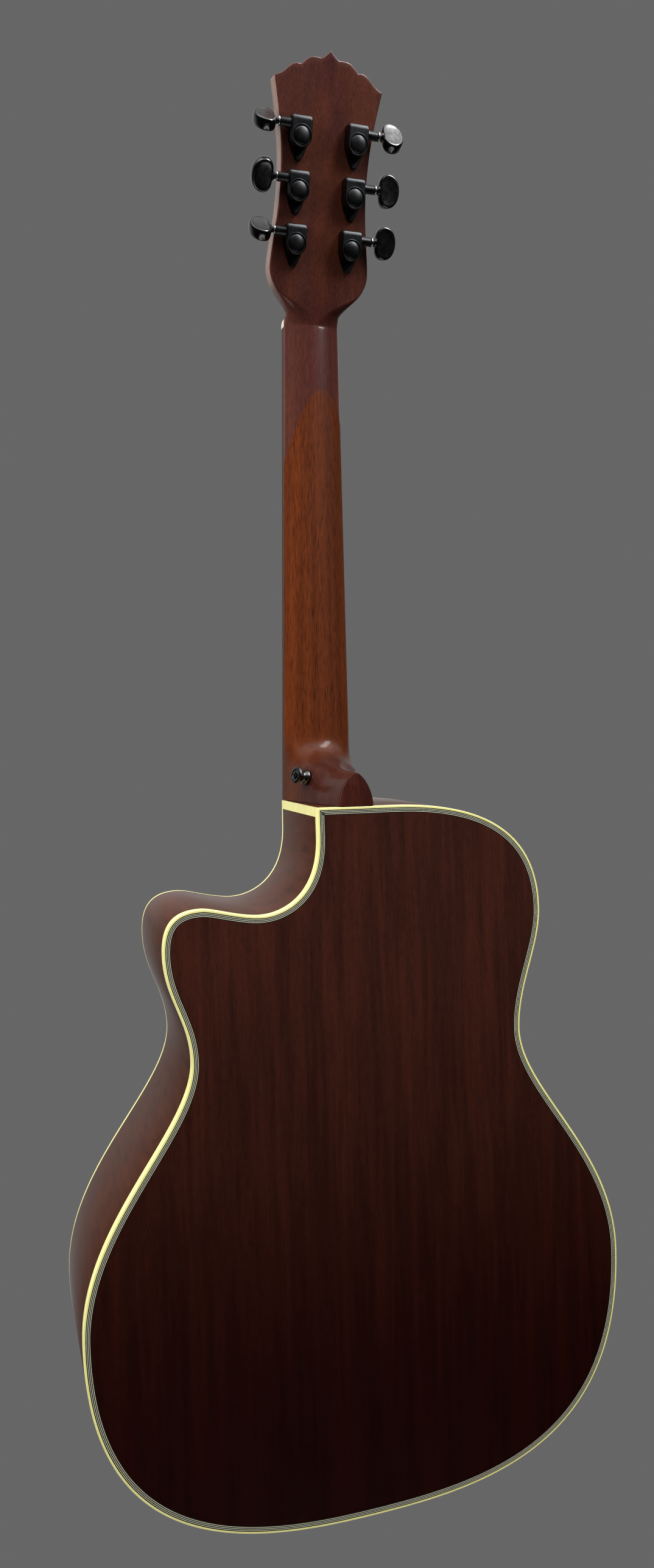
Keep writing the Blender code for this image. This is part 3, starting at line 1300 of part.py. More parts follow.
def preamp_frame():
    """Preamp axes: up along the flank, back through the body, and outward."""
    start, outward, along = flank_point(PREAMP_DOWN)
    middle = back_y(-PREAMP_DOWN) / 2

    def place(a, b, c):
        return start + along * a + np.array([0.0, middle + b, 0.0]) + outward * c

    return place


def build_preamp():
    """Preamp housing with a battery bay, its hinged door, the battery and two knobs."""
    place = preamp_frame()
    half_box = PREAMP_BOX_LENGTH / 2
    half_wide = PREAMP_BOX_WIDTH / 2
    face = BEZEL_SEAT + BEZEL_THICK
    thick, wide, deep = BATTERY
    door_half = thick / 2 + BATTERY_ROOM + DOOR_LIP
    door_half_wide = wide / 2 + BATTERY_ROOM + DOOR_LIP
    bay_floor = face - DOOR_THICK - 2 * CLEAR - deep - BATTERY_ROOM
    bezel = block(-BEZEL_LENGTH / 2, BEZEL_LENGTH / 2, -BEZEL_WIDTH / 2, BEZEL_WIDTH / 2,
                  BEZEL_SEAT, face, place)
    housing = make_object("preamp_housing", bezel, "black_plastic")
    box_top = BEZEL_SEAT + BEZEL_THICK / 4
    box = block(-half_box, half_box, -half_wide, half_wide, bay_floor - BAY_WALL, box_top, place)
    join(housing, box, "box")
    bay_half = thick / 2 + BATTERY_ROOM
    bay_wide = wide / 2 + BATTERY_ROOM
    bay = block(BATTERY_OFFSET - bay_half, BATTERY_OFFSET + bay_half, -bay_wide, bay_wide,
                bay_floor, face + 5, place)
    cut(housing, bay, "battery_bay")
    recess = block(BATTERY_OFFSET - door_half - CLEAR, BATTERY_OFFSET + door_half + CLEAR,
                   -door_half_wide - CLEAR, door_half_wide + CLEAR,
                   face - DOOR_THICK - CLEAR, face + 5, place)
    cut(housing, recess, "door_recess")
    cell = block(BATTERY_OFFSET - thick / 2, BATTERY_OFFSET + thick / 2, -wide / 2, wide / 2,
                 bay_floor + CLEAR, bay_floor + CLEAR + deep, place)
    make_object("battery", cell, "battery_case")
    hinge = place(BATTERY_OFFSET - door_half, 0.0, face)
    door = block(BATTERY_OFFSET - door_half, BATTERY_OFFSET + door_half, -door_half_wide, door_half_wide,
                 face - DOOR_THICK, face, place)
    make_object("battery_door", door, "black_plastic", hinge)
    for name, offset in zip(("tone_knob", "volume_knob"), KNOB_PLACES):
        def knob_place(a, b, c, offset=offset):
            return place(offset + a, b, face + c)

        hole = KNOB_SHAFT_RADIUS + RUN + HOLE_EASE
        bore = turned([(-KNOB_SHAFT_LENGTH - 2 * CLEAR, hole), (8, hole)], 12, knob_place)
        cut(housing, bore, name + "_hole")
        profile = [(-KNOB_SHAFT_LENGTH, KNOB_SHAFT_RADIUS), (CLEAR, KNOB_SHAFT_RADIUS), (CLEAR, KNOB_RADIUS),
                   (KNOB_HEIGHT - 0.8, KNOB_RADIUS * 0.92), (KNOB_HEIGHT, KNOB_RADIUS * 0.8)]
        make_object(name, turned(profile, 16, knob_place), "black_plastic", knob_place(0.0, 0.0, 0.0))


def main():
    clear_scene()
    build_plates()
    build_sides()
    build_bindings()
    build_blocks()
    build_linings()
    build_bracing()
    build_bridge()
    build_neck()
    build_heel_cap()
    build_fretboard()
    build_nut_and_head()
    build_tuners()
    build_strings()
    build_strap_button()
    build_jack()
    build_preamp()


main()
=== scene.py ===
"""Looks of an acoustic-electric guitar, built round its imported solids.

Shapes are worked out in millimetres and put into meshes in metres. +Z runs up the
neck, the soundboard faces -Y, the back faces +Y and +X is the cutaway side. On the
body a height v is measured from its top edge, and is negative down the body. On the
headstock a point is (x, s, n): s runs up it from the nut, n goes back from its front.
"""
import json
import math
from types import SimpleNamespace

import bmesh
import bpy
import numpy as np
from bpy.props import FloatProperty, FloatVectorProperty, PointerProperty
from mathutils import Matrix, Vector


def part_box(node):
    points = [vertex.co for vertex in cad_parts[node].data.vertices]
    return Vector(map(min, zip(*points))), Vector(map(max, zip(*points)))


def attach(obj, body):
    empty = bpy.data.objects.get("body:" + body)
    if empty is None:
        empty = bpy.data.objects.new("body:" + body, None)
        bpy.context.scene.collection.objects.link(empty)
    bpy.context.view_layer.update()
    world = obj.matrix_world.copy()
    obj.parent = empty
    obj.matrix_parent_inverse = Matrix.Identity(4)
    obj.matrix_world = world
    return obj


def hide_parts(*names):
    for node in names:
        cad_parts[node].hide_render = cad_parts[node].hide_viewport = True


bl_info = {
    "name": "Acoustic-electric Guitar",
    "version": (1, 0, 0),
    "blender": (4, 5, 0),
    "location": "3D View > Sidebar > Guitar",
    "description": "Dresses the solids of an acoustic-electric guitar with wood, lacquer and hardware",
    "category": "Object",
}

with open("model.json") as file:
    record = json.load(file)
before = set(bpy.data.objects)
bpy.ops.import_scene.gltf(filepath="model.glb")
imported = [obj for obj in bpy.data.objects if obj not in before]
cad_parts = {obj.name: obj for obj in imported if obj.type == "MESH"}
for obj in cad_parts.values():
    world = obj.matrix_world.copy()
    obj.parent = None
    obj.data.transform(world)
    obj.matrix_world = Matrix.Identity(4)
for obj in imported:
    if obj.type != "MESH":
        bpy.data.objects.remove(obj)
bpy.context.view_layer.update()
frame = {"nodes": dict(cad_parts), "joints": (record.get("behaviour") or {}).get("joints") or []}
MM = 0.001

# Places that the solids fix
BODY_TOP_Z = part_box("back_binding")[1].z / MM
NUT_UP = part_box("nut")[0].z / MM - BODY_TOP_Z
DEPTH_NECK = 92.7
BACK_SLOPE = 0.049527

# Outline of the body: places on it, and how far each curve leaves its end point straight
CUTAWAY_START = 20.6
CUTAWAY_LOW = (71.0, -71.8)
HORN_TOP = (111.6, -65.0)
HORN_SIDE = (138.8, -93.8)
HOLLOW_DOWN = 42.0
CUTAWAY_PULL = 14.0
HORN_TOP_PULLS = (8.0, 18.0)
HORN_SIDE_PULLS = (21.0, 30.0)
WAIST_PULLS = (28.0, 32.0, 46.0)
LOWER_BOUT_PULLS = (77.0, 0.96)
TAIL_ACROSS = 0.4
BOUT_PULLS = (28.0, 38.0)
SHOULDER_PULL = 92.0

# Edges and plates
BINDING = 1.5
EDGE_ROUND = 0.45
PURFLING = 3.6
FRONT_LINES = 2.4
BACK_BINDING_TALL = 6.0
FRONT_BINDING_TALL = 3.0
SIDE_THICK = 2.4
CORNER_STRIP = 6.5
TOP_THICK = 3.0
BACK_THICK = 2.4
LINE_ACROSS = (0.0, 1.0, 1.0, 0.0, 0.0)
SOUNDHOLE_V = -150.54
SOUNDHOLE_RADIUS = 50.0

# Fretboard, bridge and strings
SCALE_LENGTH = 648.0
FRET_COUNT = 20
CAMBER = 812.0
BOARD_FACE = -6.6
BOARD_END = -92.54
SADDLE_V = -290.65
SADDLE_SLANT = math.radians(2.2)
BRIDGE_HALF = 76.0
BRIDGE_SPREAD = 54.0
NUT_SPREAD = 36.0
STRING_RADII = (0.15, 0.20, 0.31, 0.41, 0.53, 0.67)

# Neck and headstock
HEAD_TILT = math.radians(14.2)
HEAD_THICK = 14.3
HEAD_CORNER = (40.0, 161.0)
HEAD_PEAK = 181.5
CORE_FRONT = 1.8
SHAFT_DEPTH = 17.0
NUT_DEPTH = 14.0
HEEL_RISE = 52.0
HEEL_TIP = 24.0
HEEL_BEND = 2.5
HEEL_REACH = 254.0
HEEL_REACH_BEND = 1.6
HEEL_END_HALF = 12.4
HEEL_ARCH_FROM = 20.0
HEEL_KEEN_FROM = 56.0
HEEL_BLEND = 26.0
HEAD_EDGE_ROUND = 1.1
CROWN_ROWS_FROM = 120.0
STRAP_SEAT = (18.8, 37.0)
# Crown's upper edge from the peak outwards: x and how far below the peak, curves between
CROWN_X = (0.0, 2.0, 3.7, 5.2, 6.4, 8.2, 10.0, 12.2, 14.2, 15.6, 16.9, 18.6, 20.0, 21.2, 22.6, 24.8,
           26.6, 28.6, 30.6, 32.6, 34.8, 37.4, 40.0)
CROWN_DOWN = (0.0, 2.2, 3.6, 4.7, 5.3, 5.3, 5.2, 5.3, 5.7, 6.3, 7.3, 8.7, 10.1, 11.3, 10.9, 10.9,
              11.5, 12.7, 14.4, 16.3, 18.0, 19.4, 20.5)

# Tuners
POST_ROWS = (53.9, 88.6, 123.3)
POST_X = 21.1
WORM_OFFSET = 7.7
DRIVE_HEIGHT = 5.0
BUTTON_START = 18.1
BUTTON_TURNS = (52.0, -30.0, 55.0, 38.0, 0.0, -4.0)
COIL_RADIUS = 2.75
COIL_FRONT = 7.3


# Sizes and colours that a user would change

def length(name, description, millimetres):
    return FloatProperty(name=name, description=description, default=millimetres * MM, unit="LENGTH",
                         min=0.0)


def colour(name, description, *value):
    return FloatVectorProperty(name=name, description=description, default=value, subtype="COLOR",
                               size=3, min=0.0, max=1.0)


def light_power(name, description, watts):
    return FloatProperty(name=name, description=description, default=watts, unit="POWER")


def brightness(name, description, value):
    return FloatProperty(name=name, description=description, default=value, min=0.0)


class GuitarSizes(bpy.types.PropertyGroup):
    """Main sizes of the guitar."""
    body_length: length("Body length", "Top edge to tail", 496.7)
    lower_bout: length("Lower bout", "Half width", 198.0)
    lower_bout_down: length("Lower bout place", "Below the body's top edge", 341.7)
    waist: length("Waist", "Half width", 121.7)
    waist_down: length("Waist place", "Below the body's top edge", 166.9)
    upper_bout: length("Upper bout", "Half width", 140.6)
    upper_bout_down: length("Upper bout place", "Below the body's top edge", 79.4)
    shoulder: length("Shoulder", "Half width beside the neck", 28.9)
    back_arch: length("Back arch", "Rise of the back over its edge", 2.2)
    neck_at_nut: length("Neck at the nut", "Width", 42.8)
    neck_at_body: length("Neck at the body", "Width", 53.8)
    button_half_height: length("Button half height", "Across the shaft", 11.5)
    button_length: length("Button length", "Along the shaft", 16.6)


class GuitarColours(bpy.types.PropertyGroup):
    """Base colours of the finishes."""
    back: colour("Back", "Ribbon mahogany under dark lacquer", 0.046, 0.0125, 0.0078)
    # Colour of the back near the tail: painted shade, darker to stand in for the light falling off down the
    # back
    back_tail_shade: colour("Back, low", "The same wood near the tail", 0.0115, 0.0012, 0.0006)
    side: colour("Sides", "Bent mahogany", 0.060, 0.0162, 0.0062)
    neck: colour("Neck", "Satin mahogany of the shaft", 0.110, 0.0240, 0.0062)
    head: colour("Headstock", "Lacquered mahogany", 0.086, 0.0255, 0.0185)
    spruce: colour("Soundboard", "Spruce", 0.62, 0.40, 0.19)
    rosewood: colour("Fretboard and bridge", "Rosewood", 0.045, 0.020, 0.013)
    cream: colour("Binding", "Cream plastic", 0.98, 0.93, 0.38)
    bare_wood: colour("Inner wood", "Unfinished wood", 0.50, 0.33, 0.18)


class GuitarStage(bpy.types.PropertyGroup):
    """Camera, lights and floor."""
    focal_length: FloatProperty(name="Focal length", description="For a 36 mm tall sensor",
                                default=24.95, unit="CAMERA", min=1.0)
    camera_place: FloatVectorProperty(name="Camera", description="Where the camera stands",
                                      default=(0.25286, 0.80813, -0.31873), subtype="TRANSLATION",
                                      unit="LENGTH")
    backdrop: brightness("Backdrop", "Brightness of the plain backdrop", 0.133)
    wall: brightness("Wall", "Light from the wall behind the guitar", 0.23)
    room: brightness("Room", "Light from the room on the camera side", 0.014)
    ceiling: brightness("Ceiling", "Light from the ceiling", 1.6)
    floor_drop: length("Floor", "Height of the floor below the nut", 1620.0)
    key_power: light_power("Key light", "Tall soft light above the camera's bass side", 30.0)
    side_power: light_power("Side light", "Soft light from the cutaway side", 40.0)
    top_power: light_power("Top light", "Soft light overhead", 7.0)
    front_power: light_power("Front light", "Soft light on the soundboard", 28.0)


def sizes():
    """The user's sizes, in millimetres."""
    group = bpy.context.scene.guitar_sizes
    names = GuitarSizes.__annotations__
    return SimpleNamespace(**{name: getattr(group, name) / MM for name in names})


def colours():
    return bpy.context.scene.guitar_colours


# Surfaces

def bezier(points, steps):
    """Cubic curve without its last point: the four points weighted by
    (1-t)^3, 3t(1-t)^2, 3t^2(1-t) and t^3."""
    t = np.linspace(0.0, 1.0, steps, endpoint=False)[:, None]
    a, b, c, d = np.asarray(points, float)
    return (1 - t) ** 3 * a + 3 * (1 - t) ** 2 * t * b + 3 * (1 - t) * t ** 2 * c + t ** 3 * d


def curve(start, leave, arrive, end, steps):
    """Cubic curve whose handles are given as steps away from its own end points."""
    start, end = np.asarray(start, float), np.asarray(end, float)
    return bezier([start, start + leave, end + arrive, end], steps)


def mirrored(right):
    """A half outline that ends on the centre line, closed by its mirror image."""
    return np.vstack([right, (right * [-1, 1])[::-1][1:]])


def smoothstep(value):
    """3t^2 - 2t^3, with t held between 0 and 1."""
    t = np.clip(value, 0.0, 1.0)
    return t * t * (3 - 2 * t)


def surface(grid, wrap_rows=False, wrap_cols=False, cap_rows=False, lay=None):
    """Faces over a grid of points, rows by columns. lay is (row values, column values)
    for the UV map, with one value more along a direction that wraps round."""
    rows, cols = grid.shape[:2]
    i = np.arange(rows if wrap_rows else rows - 1)[:, None]
    j = np.arange(cols if wrap_cols else cols - 1)[None, :]
    i2, j2 = (i + 1) % rows, (j + 1) % cols
    quads = np.stack(np.broadcast_arrays(i * cols + j, i * cols + j2, i2 * cols + j2, i2 * cols + j), -1)
    if lay is None:
        lay = (np.linspace(0, 1, len(i) + 1), np.linspace(0, 1, j.shape[1] + 1))
    u, v = np.asarray(lay[0]), np.asarray(lay[1])
    corners = np.stack([np.stack(np.broadcast_arrays(u[i + row], v[j + col]), -1)
                        for row, col in ((0, 0), (0, 1), (1, 1), (1, 0))], 2)
    caps = []
    if cap_rows:
        caps = [list(range(cols))[::-1], list(range((rows - 1) * cols, rows * cols))]
    return SimpleNamespace(points=grid.reshape(-1, 3), quads=quads.reshape(-1, 4), caps=caps,
                           lay=corners.reshape(-1, 2))


def weld(mesh, distance):
    """Merge points closer than that distance in metres, and turn the faces outward."""
    work = bmesh.new()
    work.from_mesh(mesh)
    bmesh.ops.remove_doubles(work, verts=work.verts, dist=distance)
    bmesh.ops.recalc_face_normals(work, faces=work.faces)
    work.to_mesh(mesh)
    work.free()


def piece(name, surfaces, finish, body="root", stands_for=(), sharp=38.0, bevel=0.0):
    """One object from several surfaces, with merged seams and outward faces."""
    points = np.vstack([s.points for s in surfaces]) * MM
    faces, lays, start = [], [], 0
    for s in surfaces:
        faces += (s.quads + start).tolist() + [[k + start for k in cap] for cap in s.caps]
        lays += [s.lay, np.zeros((sum(len(cap) for cap in s.caps), 2))]
        start += len(s.points)
    mesh = bpy.data.meshes.new(name)
    mesh.from_pydata(points.tolist(), [], faces)
    mesh.uv_layers.new(name="lay").data.foreach_set("uv", np.vstack(lays).ravel())
    weld(mesh, 0.000002)
    mesh.shade_smooth()
    mesh.set_sharp_from_angle(angle=math.radians(sharp))
    obj = bpy.data.objects.new(name, mesh)
    bpy.context.scene.collection.objects.link(obj)
    mesh.materials.append(finish)
    if bevel:
        modifier = obj.modifiers.new("soft_edges", "BEVEL")
        modifier.width = bevel * MM
        modifier.segments = 3
        modifier.limit_method = "ANGLE"
        modifier.angle_limit = math.radians(50)
        modifier.harden_normals = True
    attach(obj, body)
    if stands_for:
        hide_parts(*stands_for)
    return obj


def dress(finish, *nodes):
    """Give carried-over solids their finish."""
    for node in nodes:
        for material_slot in frame["nodes"][node].material_slots:
            material_slot.material = finish


def outward(path, closed=True):
    """Mitred outward normals of a clockwise path: the sum of both edges' normals over
    one plus their dot product, so that an inset keeps its distance from both edges."""
    step = np.roll(path, -1, axis=0) - path
    step = step / np.maximum(np.linalg.norm(step, axis=1), 1e-9)[:, None]
    normal = np.stack([-step[:, 1], step[:, 0]], 1)
    before = np.roll(normal, 1, axis=0)
    if not closed:
        before[0] = normal[0]
        normal[-1] = before[-1]
    return (before + normal) / (1 + (before * normal).sum(axis=1))[:, None]


def stack(outline, levels, place, pole=None):
    """A flat outline carried through levels of (inset, height). With a pole, the first and
    last levels shrink on to that point, so that the faces are rings and not one cap."""
    normals = outward(outline)
    rows = [(outline - normals * inset, height) for inset, height in levels]
    if pole is not None:
        centre = np.asarray(pole, float)
        first, last = rows[0], rows[-1]
        shrink = (0.0, 0.35, 0.7, 0.92)
        rows = ([(centre + (first[0] - centre) * k, first[1]) for k in shrink] + rows
                + [(centre + (last[0] - centre) * k, last[1]) for k in reversed(shrink)])
    grid = np.stack([place(flat[:, 0], flat[:, 1], np.full(len(flat), height)) for flat, height in rows])
    return surface(grid, wrap_cols=True, cap_rows=pole is None)


def turned(profile, place, steps):
    """A profile of (along, radius) carried round its axis; a radius of 0 closes a pole."""
    along, radius = np.asarray(profile, float).T
    turn = np.linspace(0, 2 * math.pi, steps, endpoint=False)
    a = radius[:, None] * np.cos(turn)
    b = radius[:, None] * np.sin(turn)
    grid = place(a, b, np.broadcast_to(along[:, None], a.shape))
    return surface(grid, wrap_cols=True)


def run_along(points):
    """Distance along a row of points."""
    return np.concatenate([[0], np.cumsum(np.linalg.norm(np.diff(points, axis=0), axis=1))])


def tube(path, radius, steps, repeat):
    """A round tube along a path: each ring lies across the path's direction. Along the
    tube the UV map counts lengths of repeat."""
    ahead = np.gradient(path, axis=0)
    ahead /= np.linalg.norm(ahead, axis=1)[:, None]
    helper = np.where(np.abs(ahead[:, :1]) < 0.9, [[1.0, 0.0, 0.0]], [[0.0, 0.0, 1.0]])
    first = np.cross(ahead, helper)
    first /= np.linalg.norm(first, axis=1)[:, None]
    second = np.cross(ahead, first)
    turn = np.linspace(0, 2 * math.pi, steps, endpoint=False)
    cos, sin = np.cos(turn)[:, None], np.sin(turn)[:, None]
    grid = path[:, None] + radius * (first[:, None] * cos + second[:, None] * sin)
    lay = (run_along(path) / repeat, np.linspace(0, 1, steps + 1))
    return surface(grid, wrap_cols=True, cap_rows=True, lay=lay)


def rounded(low, high, radius, steps):
    """Levels of a plate: straight up from low, then a quarter round of that radius to high."""
    turn = np.linspace(0, math.pi / 2, steps)
    return [(0.0, low)] + [(radius * (1 - math.cos(t)), high - radius + radius * math.sin(t)) for t in turn]


def circle(radius, steps):
    turn = np.linspace(0, -2 * math.pi, steps, endpoint=False)
    return np.stack([radius * np.cos(turn), radius * np.sin(turn)], 1)


# Frames

def body_place(x, v, y):
    """Points of the body: x across, v up from its top edge, y back from the soundboard."""
    return np.stack(np.broadcast_arrays(x, y, v + BODY_TOP_Z), -1).astype(float)


def head_place(x, s, n):
    """Points of the tilted headstock."""
    cos, sin = math.cos(HEAD_TILT), math.sin(HEAD_TILT)
    return body_place(x, NUT_UP + s * cos - n * sin, s * sin + n * cos)


def back_y(v):
    return DEPTH_NECK - BACK_SLOPE * v


def axis_place(origin, axis, across):
    """Frame along an axis: first direction along across, third along the axis."""
    w = np.asarray(axis, float) / np.linalg.norm(axis)
    u = np.asarray(across, float)
    u = u - w * np.dot(u, w)
    u = u / np.linalg.norm(u)
    v = np.cross(w, u)
    start = np.asarray(origin, float)

    def place(a, b, c):
        a, b, c = (np.asarray(value)[..., None] for value in (a, b, c))
        return start + a * u + b * v + c * w

    return place


def screw_top(place, radius, rise, slot_half, slot_length, depth):
    """A domed screw head with a cross recess: a dome, less a depth wherever a point lies
    within half a slot's width of either arm of the cross."""
    share = np.linspace(0, 1, 26)[:, None]
    turn = np.linspace(0, 2 * math.pi, 64, endpoint=False)[None, :]
    a = radius * share * np.cos(turn)
    b = radius * share * np.sin(turn)
    dome = rise * np.sqrt(np.maximum(0.0, 1 - 0.85 * share ** 2))
    arms = np.minimum(np.maximum(np.abs(a) / slot_half, np.abs(b) / slot_length),
                      np.maximum(np.abs(b) / slot_half, np.abs(a) / slot_length))
    height = dome - depth * (1 - smoothstep((arms - 0.9) / 0.25))
    low = np.full_like(turn, -0.2)
    grid = np.concatenate([place(a, b, height), place(a[-1:], b[-1:], low), place(a[:1], b[:1], low)])
    return surface(grid, wrap_cols=True)


# Finishes

class Finish:
    """One node material, built a node at a time."""

    def __init__(self, name, roughness=0.5, metallic=0.0, coat=0.0, coat_roughness=0.05, specular=0.5):
        self.material = bpy.data.materials.new(name)
        self.material.use_nodes = True
        self.tree = self.material.node_tree
        self.shader = self.tree.nodes["Principled BSDF"]
        self.set("Roughness", roughness)
        self.set("Metallic", metallic)
        self.set("Coat Weight", coat)
        self.set("Coat Roughness", coat_roughness)
        self.set("Specular IOR Level", specular)

    def set(self, socket, value):
        self.feed(self.shader.inputs[socket], value)

    def done(self, base, wear=None, relief=None):
        """Set the base colour, the roughness as (pattern, low, high) and the bump as
        (height, strength, distance)."""
        self.set("Base Color", base)
        if wear:
            pattern, low, high = wear
            self.set("Roughness", self.remap(pattern, 0.3, 0.7, low, high))
        if relief:
            height, strength, distance = relief
            self.set("Normal", self.node("ShaderNodeBump", {
                "Height": height, "Strength": strength, "Distance": distance}).outputs["Normal"])
        return self.material

    def feed(self, socket, value):
        if isinstance(value, bpy.types.NodeSocket):
            self.tree.links.new(value, socket)
        elif socket.type == "RGBA" and len(value) == 3:
            socket.default_value = (*value, 1.0)
        else:
            socket.default_value = value

    def node(self, kind, inputs, **settings):
        made = self.tree.nodes.new(kind)
        for key, value in settings.items():
            setattr(made, key, value)
        for key, value in inputs.items():
            self.feed(made.inputs[key], value)
        return made

    def where(self, source="Object", scale=(1, 1, 1), move=(0, 0, 0)):
        """Coordinates: Object in metres, or the piece's own UV map."""
        start = self.tree.nodes.new("ShaderNodeTexCoord").outputs[source]
        return self.node("ShaderNodeMapping", {
            "Vector": start, "Scale": scale, "Location": move}).outputs["Vector"]

    def noise(self, vector, scale=1.0, detail=4.0, roughness=0.5, distortion=0.0):
        return self.node("ShaderNodeTexNoise", {
            "Vector": vector, "Scale": scale, "Detail": detail, "Roughness": roughness,
            "Distortion": distortion}).outputs["Fac"]

    def axis(self, vector, name):
        return self.node("ShaderNodeSeparateXYZ", {"Vector": vector}).outputs[name]

    def remap(self, value, low, high, to_low=0.0, to_high=1.0, smooth=False):
        kind = "SMOOTHSTEP" if smooth else "LINEAR"
        return self.node("ShaderNodeMapRange", {
            "Value": value, "From Min": low, "From Max": high, "To Min": to_low, "To Max": to_high},
            interpolation_type=kind).outputs["Result"]

    def math(self, operation, first, second=0.0):
        return self.node("ShaderNodeMath", {0: first, 1: second}, operation=operation).outputs[0]

    def ramp(self, value, stops, sharp=False):
        made = self.node("ShaderNodeValToRGB", {"Fac": value})
        made.color_ramp.interpolation = "CONSTANT" if sharp else "LINEAR"
        elements = made.color_ramp.elements
        while len(elements) < len(stops):
            elements.new(0.5)
        for element, (place, tone) in zip(elements, stops):
            element.position = place
            element.color = (*tone, 1.0) if isinstance(tone, tuple) else (tone, tone, tone, 1.0)
        return made.outputs["Color"]

    def blend(self, share, first, second, mode="MIX"):
        made = self.node("ShaderNodeMix", {}, data_type="RGBA", blend_type=mode)
        colours_in = [socket for socket in made.inputs if socket.type == "RGBA"]
        self.feed(made.inputs["Factor"], share)
        self.feed(colours_in[0], first)
        self.feed(colours_in[1], second)
        return [socket for socket in made.outputs if socket.type == "RGBA"][0]

    def shade(self, base, pattern, stops, share=1.0):
        """Multiply a colour by a ramp over a pattern."""
        return self.blend(share, base, self.ramp(pattern, stops), "MULTIPLY")


def tinted(tone, factor):
    return tuple(min(1.0, channel * factor) for channel in tone)


def stretched(f, across, along, detail=2.0, source="Object", distortion=0.0):
    """Noise drawn out along the wood: across and along are marks per metre."""
    scale = (across, across, along) if source == "Object" else (along, across, 1.0)
    return f.noise(f.where(source, scale), 1.0, detail, 0.5, distortion)


def wood(f, base, band, fleck, pore, widths=(80.0, 1150.0, 1600.0), lengths=(1.3, 170.0, 95.0),
         source="Object"):
    """Colour of wood: broad bands, short flecks and thin dark pores, each a noise drawn out
    along the grain, multiply the base. band, fleck and pore say how strong each is."""
    bands = stretched(f, widths[0], lengths[0], 2.0, source, 0.5)
    flecks = stretched(f, widths[1], lengths[1], 2.0, source)
    pores = stretched(f, widths[2], lengths[2], 1.0, source)
    dark = (1 - band, 1 - 0.9 * band, 1 - 0.6 * band)
    light = (1 + band, 1 + 0.85 * band, 1 + 0.6 * band)
    tone = f.shade(base, bands, [(0.34, dark), (0.5, 1.0), (0.64, light)])
    tone = f.shade(tone, flecks, [(0.32, 1 - fleck), (0.68, 1 + fleck)])
    tone = f.shade(tone, pores, [(0.30, 1 - pore), (0.38, 1.0)])
    return tone, flecks, pores


def mahogany_back():
    """Ribbon-striped mahogany under gloss lacquer, darker and redder toward the tail as painted shade,
    standing in for the light falling off down the back.
    """
    c = colours()
    f = Finish("ribbon_mahogany_back", 0.42, coat=0.6, coat_roughness=0.10, specular=0.08)
    # Painted shade: the colour fades to the darker tail colour down the back, standing in for the light
    # falling off
    down = f.remap(f.axis(f.where(), "Z"), -0.42, -0.84, smooth=True)
    base = f.blend(down, tuple(c.back), tuple(c.back_tail_shade))
    base = f.shade(base, stretched(f, 260.0, 5.0), [(0.35, 0.88), (0.65, 1.14)])
    tone, flecks, _ = wood(f, base, 0.20, 0.13, 0.20, widths=(100.0, 1150.0, 1600.0))
    return f.done(tone, (flecks, 0.38, 0.48), (flecks, 0.02, 0.0002))


def mahogany_side():
    """Bent mahogany: the grain runs along the side, so it follows the UV map in metres."""
    f = Finish("bent_mahogany_side", 0.42, coat=0.85, coat_roughness=0.08, specular=0.08)
    tone, flecks, _ = wood(f, tuple(colours().side), 0.16, 0.18, 0.25, source="UV")
    return f.done(tone, (flecks, 0.38, 0.48), (flecks, 0.03, 0.0002))


def mahogany_neck():
    """Neck: satin open-pored shaft between the lacquered headstock and the lacquered heel.
    The shaft's upper boundary is a tongue, a parabola round the middle. The headstock's
    walls, told by the UV map, are paler than its back."""
    c = colours()
    f = Finish("mahogany_neck", 0.45, coat_roughness=0.12, specular=0.12)
    spot = f.where()
    x, y, z = (f.axis(spot, name) for name in "XYZ")
    off = f.math("ADD", x, 0.004)
    tongue = f.math("ADD", f.math("MULTIPLY", f.math("MULTIPLY", off, off), -70.0), -0.065)
    below = f.remap(f.math("SUBTRACT", tongue, z), -0.0012, 0.0012, smooth=True)
    above_heel = f.remap(z, -0.333, -0.318, smooth=True)
    satin = f.math("MULTIPLY", below, above_heel)
    streak = f.remap(f.math("ABSOLUTE", off), 0.018, 0.005, smooth=True)
    head = f.blend(f.math("MULTIPLY", streak, 0.6), tuple(c.head), (0.074, 0.0175, 0.0150))
    cloud = f.noise(f.where(scale=(30.0, 30.0, 8.0), move=(0.4, 0.0, 0.2)), 1.0, 2.0)
    patch = f.remap(cloud, 0.5, 0.66)
    head = f.blend(f.math("MULTIPLY", patch, 0.5), head, (0.130, 0.036, 0.0145))
    root = f.blend(f.remap(z, -0.322, -0.346, smooth=True), tuple(c.neck), tinted(c.neck, 0.66))
    heel = f.blend(f.remap(y, 0.016, 0.038, smooth=True), root, (0.044, 0.0106, 0.0062))
    lacquered = f.blend(f.remap(z, -0.25, -0.30), head, heel)
    base = f.blend(satin, lacquered, tuple(c.neck))
    from_middle = f.math("ABSOLUTE", f.math("SUBTRACT", f.axis(f.where("UV"), "Y"), 0.5))
    edge = f.remap(from_middle, 0.4655, 0.4665)
    wall = f.math("MULTIPLY", edge, f.remap(z, 0.004, 0.012, smooth=True))
    base = f.blend(wall, base, (0.21, 0.125, 0.095))
    tone, _, pores = wood(f, base, 0.16, 0.20, 0.24, widths=(95.0, 1150.0, 1500.0))
    deep, _, _ = wood(f, base, 0.18, 0.24, 0.55, widths=(120.0, 1000.0, 1350.0),
                      lengths=(3.0, 120.0, 80.0))
    gloss = f.remap(z, -0.30, -0.25, 0.30, 0.75)
    f.set("Coat Weight", f.math("MULTIPLY", f.remap(satin, 0.0, 1.0, 1.0, 0.0), gloss))
    f.set("Roughness", f.remap(satin, 0.0, 1.0, 0.38, 0.55))
    open_pores = f.math("MULTIPLY", f.remap(pores, 0.30, 0.38), satin)
    return f.done(f.blend(satin, tone, deep), relief=(open_pores, 0.10, 0.0001))


